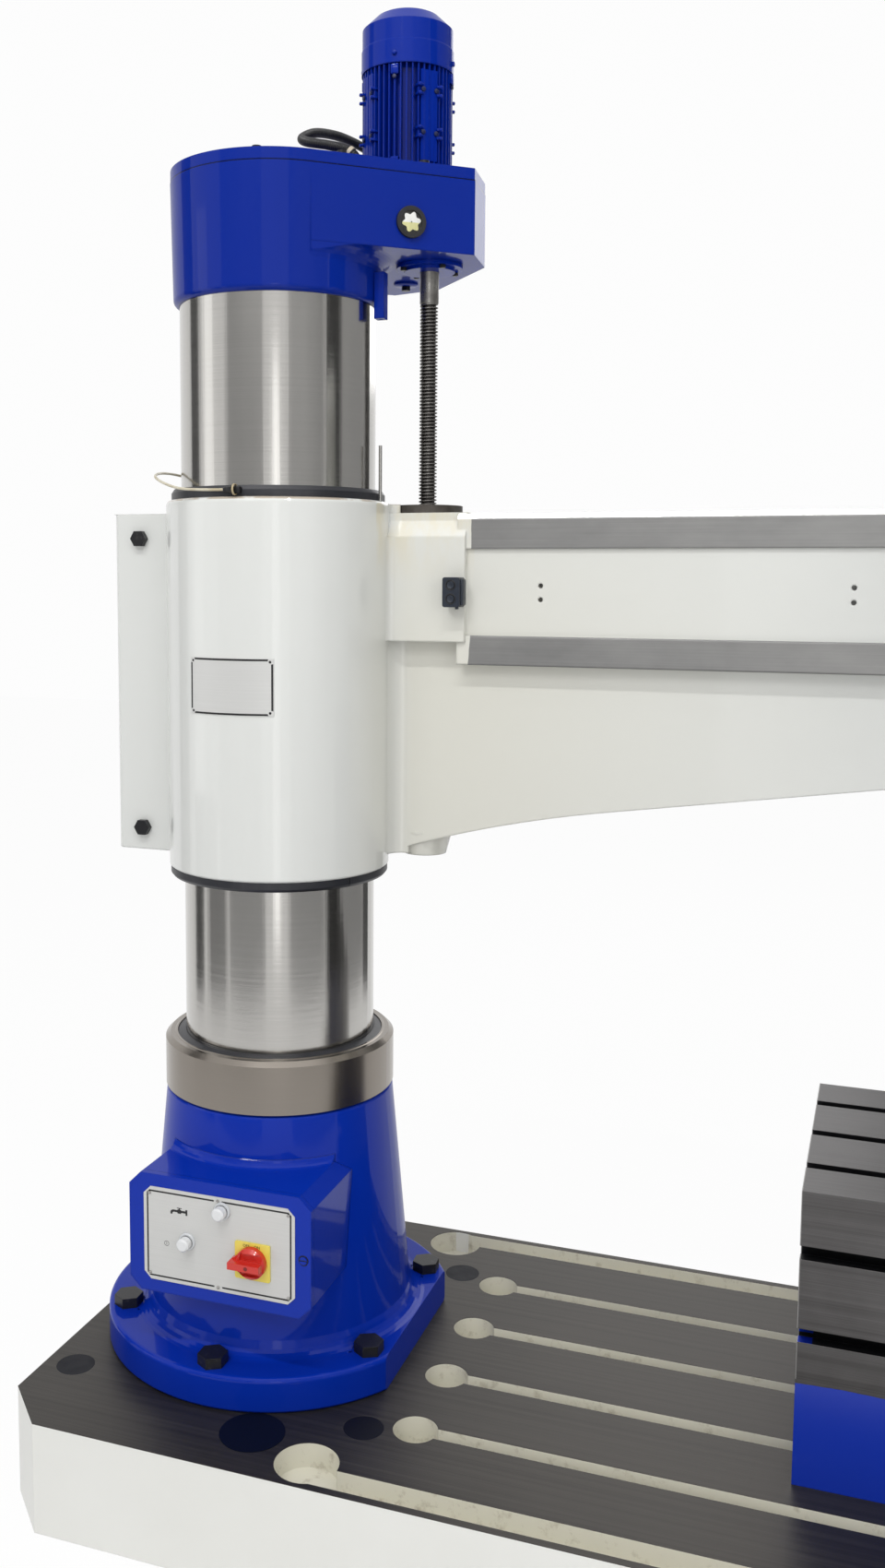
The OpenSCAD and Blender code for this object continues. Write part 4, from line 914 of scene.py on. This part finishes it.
# Lift motor: lugs with their screws on the body and the cowl, and the terminal box's screws
def make_motor_details():
    bm = shape()
    screws = shape()
    for pad in (-42, 48, 138, 228):
        for z in (2397, 2470):
            for side in (-1, 1):
                wall = on_wall(MOTOR_AXIS, pad, z, 75.5)
                edge = wall @ Matrix.Translation((side * 16.5, 0, 0))
                for level in (-7.5, 7.5):
                    block(bm, (11, 4.6, 15), (side * 2.5, level, 2), 1.0, edge)
                    lathe(bm, [(0, 0), (3.2, 0), (3.2, 2.4), (2.2, 3.2), (0, 3.2)], 12,
                          edge @ Matrix.Translation((side * 4.5, level, 8.5)))
                lathe(screws, [(0, 6.5), (4.2, 6.5), (4.2, 8.6), (3.2, 9.2), (0, 9.2)], 16,
                      edge @ Matrix.Translation((side * -3.4, 0, 0)))
    for k in range(4):
        angle = -87 + 90 * k
        hex_head(bm, 8, 4.5, on_wall(MOTOR_AXIS, angle, 2531, 83.6))
        lug = on_wall(MOTOR_AXIS, angle, 2504, 82)
        block(bm, (14, 17, 5), (0, 0, 1), 1.2, lug)
        hex_head(screws, 7, 4, lug @ Matrix.Translation((0, -13, 0)))
    finish_piece(bm, "motor_lugs", "column", "upper_shaded_blue")
    # Painted shade: the screw heads of the lugs are dark navy for the shade of their holes.
    finish_piece(screws, "motor_lug_screws_shaded", "column", "lug_screw_shade_navy")

    bm = shape()
    for across in (-34, 34):
        for level in (-37, 37):
            wall = on_wall(MOTOR_AXIS, 93, 2415 + level, 134.2)
            slotted_head(bm, 4.2, 2.2, wall @ Matrix.Translation((across, 0, 0)))
    finish_piece(bm, "terminal_box_screws", "column", "steel")


make_gearbox_details()
make_motor_details()


# Arm: rivets of the rating plate, and the back, rings and caps of the switch block
def make_arm_details():
    bm = shape()
    for x in (-78, 69):
        for z in (1379.5, 1466.5):
            forward = math.sqrt(SLEEVE_PLATE_RADIUS ** 2 - x * x)
            wall = on_wall((0, 0), math.degrees(math.atan2(-forward, x)), z, SLEEVE_PLATE_RADIUS)
            lathe(bm, [(0, 1.3), (1.2, 1.1), (2.1, 0.5), (2.3, 0), (0, 0)], 16, wall)
    finish_piece(bm, "rating_plate_rivets", "arm_body", "oxide")

    bm = shape()
    block(bm, (9, 20, 46), (345.6, 11, 1585), 2.5)
    block(bm, (5, 8, 4), (340, -2, 1557.5), 1.0)
    finish_piece(bm, "arm_switch_back", "arm_body", "navy_plastic")

    ring_section = [(7.15, 0), (9.4, 0), (9.4, 0.8), (8.6, 1.5), (7.6, 1.2), (7.15, 0)]
    cap_section = [(0, -8), (6.8, -8), (6.8, 1.4), (6.1, 2.0), (5.4, 1.6), (0, 1.3)]
    upper = 1597.5
    lower = 1573.5
    bm = shape()
    for z in (lower, upper):
        lathe(bm, ring_section, 40, facing_front(330, -7.8, z))
    finish_piece(bm, "arm_switch_rings", "arm_body", "black_plastic")

    for name, z in (("arm_switch_upper", upper), ("arm_switch_lower", lower)):
        bm = shape()
        lathe(bm, cap_section, 40, facing_front(330, -8, z))
        piece = finish_piece(bm, name + "_cap", name + "_body", "navy_plastic")
        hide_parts(name)


make_arm_details()


# Switch panel on the box door: screws, signs, button collars, the lock's ring, and a black sheet in the
# lock's slot as painted shade
TAP_SIGN = [
    (-17, -5), (-17, -1), (-15.5, 1.5), (-12, 3), (-4, 3), (-3, 4.4), (-1.2, 4.4), (-1.2, 6),
    (-4.5, 6), (-4.5, 7.4), (4.5, 7.4), (4.5, 6), (1.2, 6), (1.2, 4.4), (3, 4.4), (4, 3),
    (12, 3), (12, 5.6), (15.5, 5.6), (15.5, -4.6), (12, -4.6), (12, -1), (4, -1), (3, -3),
    (-3, -3), (-4, -1), (-11, -1), (-13, -2.6), (-13, -5),
]


def make_panel_details():
    bm = shape()
    corners = [(x, z) for x in (-112.5, 149.5) for z in (407.5, 551.5)]
    middles = [(18.5, 402.8), (18.5, 556.2)]
    for x, z in corners + middles:
        slotted_head(bm, 3.0, 1.5, facing_front(x, PANEL_Y, z))
    finish_piece(bm, "panel_screws", "door", "steel")

    bm = shape()
    plate(bm, TAP_SIGN, 0, 0.12, 0, facing_front(-55, PANEL_Y, 525))
    ring_sign = facing_front(-80, PANEL_Y, 465)
    ring(bm, 4.6, 3.9, 0.12, ring_sign, 0.02)
    block(bm, (0.8, 5.2, 0.12), (0, 0, 0.06), 0, ring_sign)
    switch_plate_y = PANEL_Y - 3
    lettering(bm, "OFF", 7.0, facing_front(73, switch_plate_y, 487.5))
    lettering(bm, "ON", 7.0, facing_front(93, switch_plate_y, 487.5))
    finish_piece(bm, "panel_markings", "door", "ink_and_slot_shade")

    bm = shape()
    collar = [(12.0, 0), (15.4, 0), (15.4, 3.2), (14.4, 4.6), (12.0, 4.6), (12.0, 0)]
    for x, z in ((27, 540), (-40, 475)):
        lathe(bm, collar, 48, facing_front(x, PANEL_Y, z))
    finish_piece(bm, "button_collars", "door", "clear")

    lock = facing_front(176, -300, 477)
    bm = shape()
    lathe(bm, [(7.3, 0), (8.9, 0), (8.9, 0.5), (8.4, 0.9), (7.3, 0.7), (7.3, 0)], 40, lock)
    finish_piece(bm, "door_lock_ring", "door", "oxide")
    # Painted shade: a black sheet in the lock's slot, where the slot lies in shade.
    bm = shape()
    block(bm, (13.2, 1.8, 0.5), (0, 0, 0.9), 0, lock)
    finish_piece(bm, "door_lock_slot_shade", "door_lock_body", "ink_and_slot_shade")

    # The small screw in the handle's centre dimple, darker red as painted shade of the dimple.
    bm = shape()
    handle_face = facing_front(84, -331.8, 461)
    lathe(bm, [(0, -0.2), (3.4, -0.2), (3.4, 0.4), (2.4, 0.6), (2.0, 0.1), (0, 0.1)], 24, handle_face)
    finish_piece(bm, "switch_handle_screw", "switch_handle_body", "handle_shade_red")


make_panel_details()


# Drill head: dial numbers, feed scale, bezels, cover plate and level glass
DIAL = (1340, 1716)
FEED_HUB = (1520, 1400)
LEVEL_GLASS = (1606, 1640)
COVER_PLATE = (1510, 1560)


def on_head(centre, right=0.0, up=0.0, out=0.0):
    """A frame on the head's front face, beside one of its centres."""
    return facing_front(centre[0] + right, HEAD_Y - out, centre[1] + up)


def make_head_details():
    bm = shape()
    for k in range(9):
        angle = math.radians(240 - 37.5 * k)
        lettering(bm, str(k + 1), 11, on_head(DIAL, 54 * math.cos(angle), 54 * math.sin(angle)))
    for k in range(60):
        spoke = on_head(FEED_HUB) @ Matrix.Rotation(math.tau * k / 60, 4, "Z")
        long = 7 if k % 5 == 0 else 4
        block(bm, (long, 0.8, 0.3), (68 - long / 2, 0, 3.2), 0, spoke)
    for k in range(12):
        angle = math.tau * k / 12
        lettering(bm, str(5 * k), 7, on_head(FEED_HUB, 76 * math.cos(angle), 76 * math.sin(angle), 3))
    finish_piece(bm, "head_markings", "head", "ink_and_slot_shade")

    bm = shape()
    ring(bm, 84, 56, 3, on_head(FEED_HUB), 0.8, 72)
    for button in ((1490, 1690), (1550, 1690)):
        ring(bm, 15, 10.8, 4, on_head(button), 1.0)
    ring(bm, 22, 14, 6, on_head(LEVEL_GLASS), 1.5)
    finish_piece(bm, "head_rings", "head", "steel")

    bm = shape()
    lathe(bm, [(0, 2.5), (13.8, 2.5), (13.8, 0), (0, 0)], 32, on_head(LEVEL_GLASS))
    finish_piece(bm, "head_level_glass", "head", "oil")

    bm = shape()
    plate(bm, [(-75, -52), (75, -52), (75, 52), (-75, 52)], 0, 5, 1.2, on_head(COVER_PLATE))
    finish_piece(bm, "head_cover_plate", "head", "cream")

    bm = shape()
    for right in (-66, 66):
        for up in (-43, 43):
            hex_head(bm, 10, 6, on_head(COVER_PLATE, right, up, 5))
    for y in (-188, -112):
        for z in (1873, 1965):
            motor_wall = upright(1560, y, z) @ Matrix.Rotation(math.radians(90), 4, "Y")
            slotted_head(bm, 4.2, 2.2, motor_wall)
    finish_piece(bm, "head_screws", "head", "oxide")

    bm = shape()
    block(bm, (3, 14, 0.4), (0, 14, 35.1), 0, on_head(DIAL))
    block(bm, (2.4, 12, 0.4), (0, 34, 7.1), 0, on_head(DIAL))
    finish_piece(bm, "speed_dial_pointer", "dial", "white_ink")


make_head_details()


# Light and backdrop
def grey_card(name, azimuth, width, shade, bottom=-0.1, top=3.9):
    """A grey card beside the scene that only reflections see."""
    distance = 3.0
    bm = shape()
    bmesh.ops.create_grid(bm, x_segments=1, y_segments=1, size=0.5)
    angle = math.radians(azimuth)
    place = upright(distance * math.cos(angle), distance * math.sin(angle), (bottom + top) / 2)
    turn = Matrix.Rotation(angle + math.pi / 2, 4, "Z") @ Matrix.Rotation(math.pi / 2, 4, "X")
    move(bm, bm.verts, place @ turn @ Matrix.Diagonal((width, top - bottom, 1, 1)))
    mesh = bpy.data.meshes.new(name)
    bm.to_mesh(mesh)
    bm.free()
    mesh.materials.append(Finish("card_" + name, (shade, shade, shade), 0.9).material)
    card = bpy.data.objects.new(name, mesh)
    bpy.context.scene.collection.objects.link(card)
    card.visible_camera = False
    card.visible_diffuse = False
    card.visible_shadow = False
    card.visible_transmission = False


def make_world():
    world = bpy.data.worlds.new("studio")
    bpy.context.scene.world = world
    world.use_nodes = True
    back = world.node_tree.nodes["Background"]
    sky = Shading(world.node_tree)
    sky.plug(back.inputs["Color"], (1.0, 1.0, 1.0))
    sky.plug(back.inputs["Strength"], sky.backdrop_rays() * 0.42 + 0.56)


def softbox(name, place, target, width, height, power):
    lamp = bpy.data.lights.new(name, "AREA")
    lamp.shape = "RECTANGLE"
    lamp.size = width
    lamp.size_y = height
    lamp.energy = power
    box = bpy.data.objects.new(name, lamp)
    aim = (Vector(target) - Vector(place)).to_track_quat("-Z", "Y")
    box.matrix_world = Matrix.Translation(place) @ aim.to_matrix().to_4x4()
    box.visible_camera = False
    bpy.context.scene.collection.objects.link(box)


def make_floor():
    bm = shape()
    bmesh.ops.create_grid(bm, x_segments=1, y_segments=1, size=14.0)
    mesh = bpy.data.meshes.new("floor")
    bm.to_mesh(mesh)
    bm.free()
    floor = bpy.data.objects.new("floor", mesh)
    bpy.context.scene.collection.objects.link(floor)
    finish = Finish("floor_white", (0.86, 0.86, 0.86), 0.9)
    glow = finish.node("ShaderNodeEmission", None, {"Color": (1.0, 1.0, 1.0), "Strength": 1.0})
    lit = Value(finish, finish.shader.outputs[0])
    blend = finish.node("ShaderNodeMixShader", None, {0: finish.backdrop_rays() * 0.94, 1: lit, 2: glow})
    finish.plug(finish.tree.nodes["Material Output"].inputs["Surface"], blend)
    mesh.materials.append(finish.material)


make_world()
make_floor()
# Cards: degrees round the column from +X, width in metres, shade from black to white
grey_card("card_left_edge", -177, 0.95, 0.10)
grey_card("card_left_low", -145, 1.5, 0.34, top=0.8)
grey_card("card_front_left", -105, 2.45, 0.53)
grey_card("card_front_right", -34, 2.3, 0.50)
grey_card("card_right_dark", -1, 1.05, 0.04)
grey_card("card_right_mid", 28, 2.5, 0.48)
grey_card("card_right_edge", 60, 0.9, 0.10)
# Lamps: place, point that they face, width and height in metres, power in watts
softbox("key_softbox", (-0.4, -4.5, 4.4), (0.4, 0, 1.2), 1.9, 1.5, 52)
softbox("right_fill", (3.4, -2.7, 2.3), (0.2, 0, 1.3), 1.6, 2.4, 25)
softbox("front_strip", (1.29, -3.36, 1.3), (0, 0, 1.3), 0.45, 2.4, 4.2)
softbox("left_strip", (-3.3, -1.7, 1.6), (0, 0, 1.4), 0.9, 2.8, 5)
softbox("top_softbox", (0.6, -0.4, 5.2), (0.6, 0, 0), 3.0, 3.0, 10)
softbox("rear_fill", (0.6, 4.4, 3.4), (0.6, 0, 1.2), 2.6, 1.8, 22)
softbox("top_strip", (0.3, -2.3, 4.6), (0.2, 0, 1.2), 3.2, 0.08, 56)
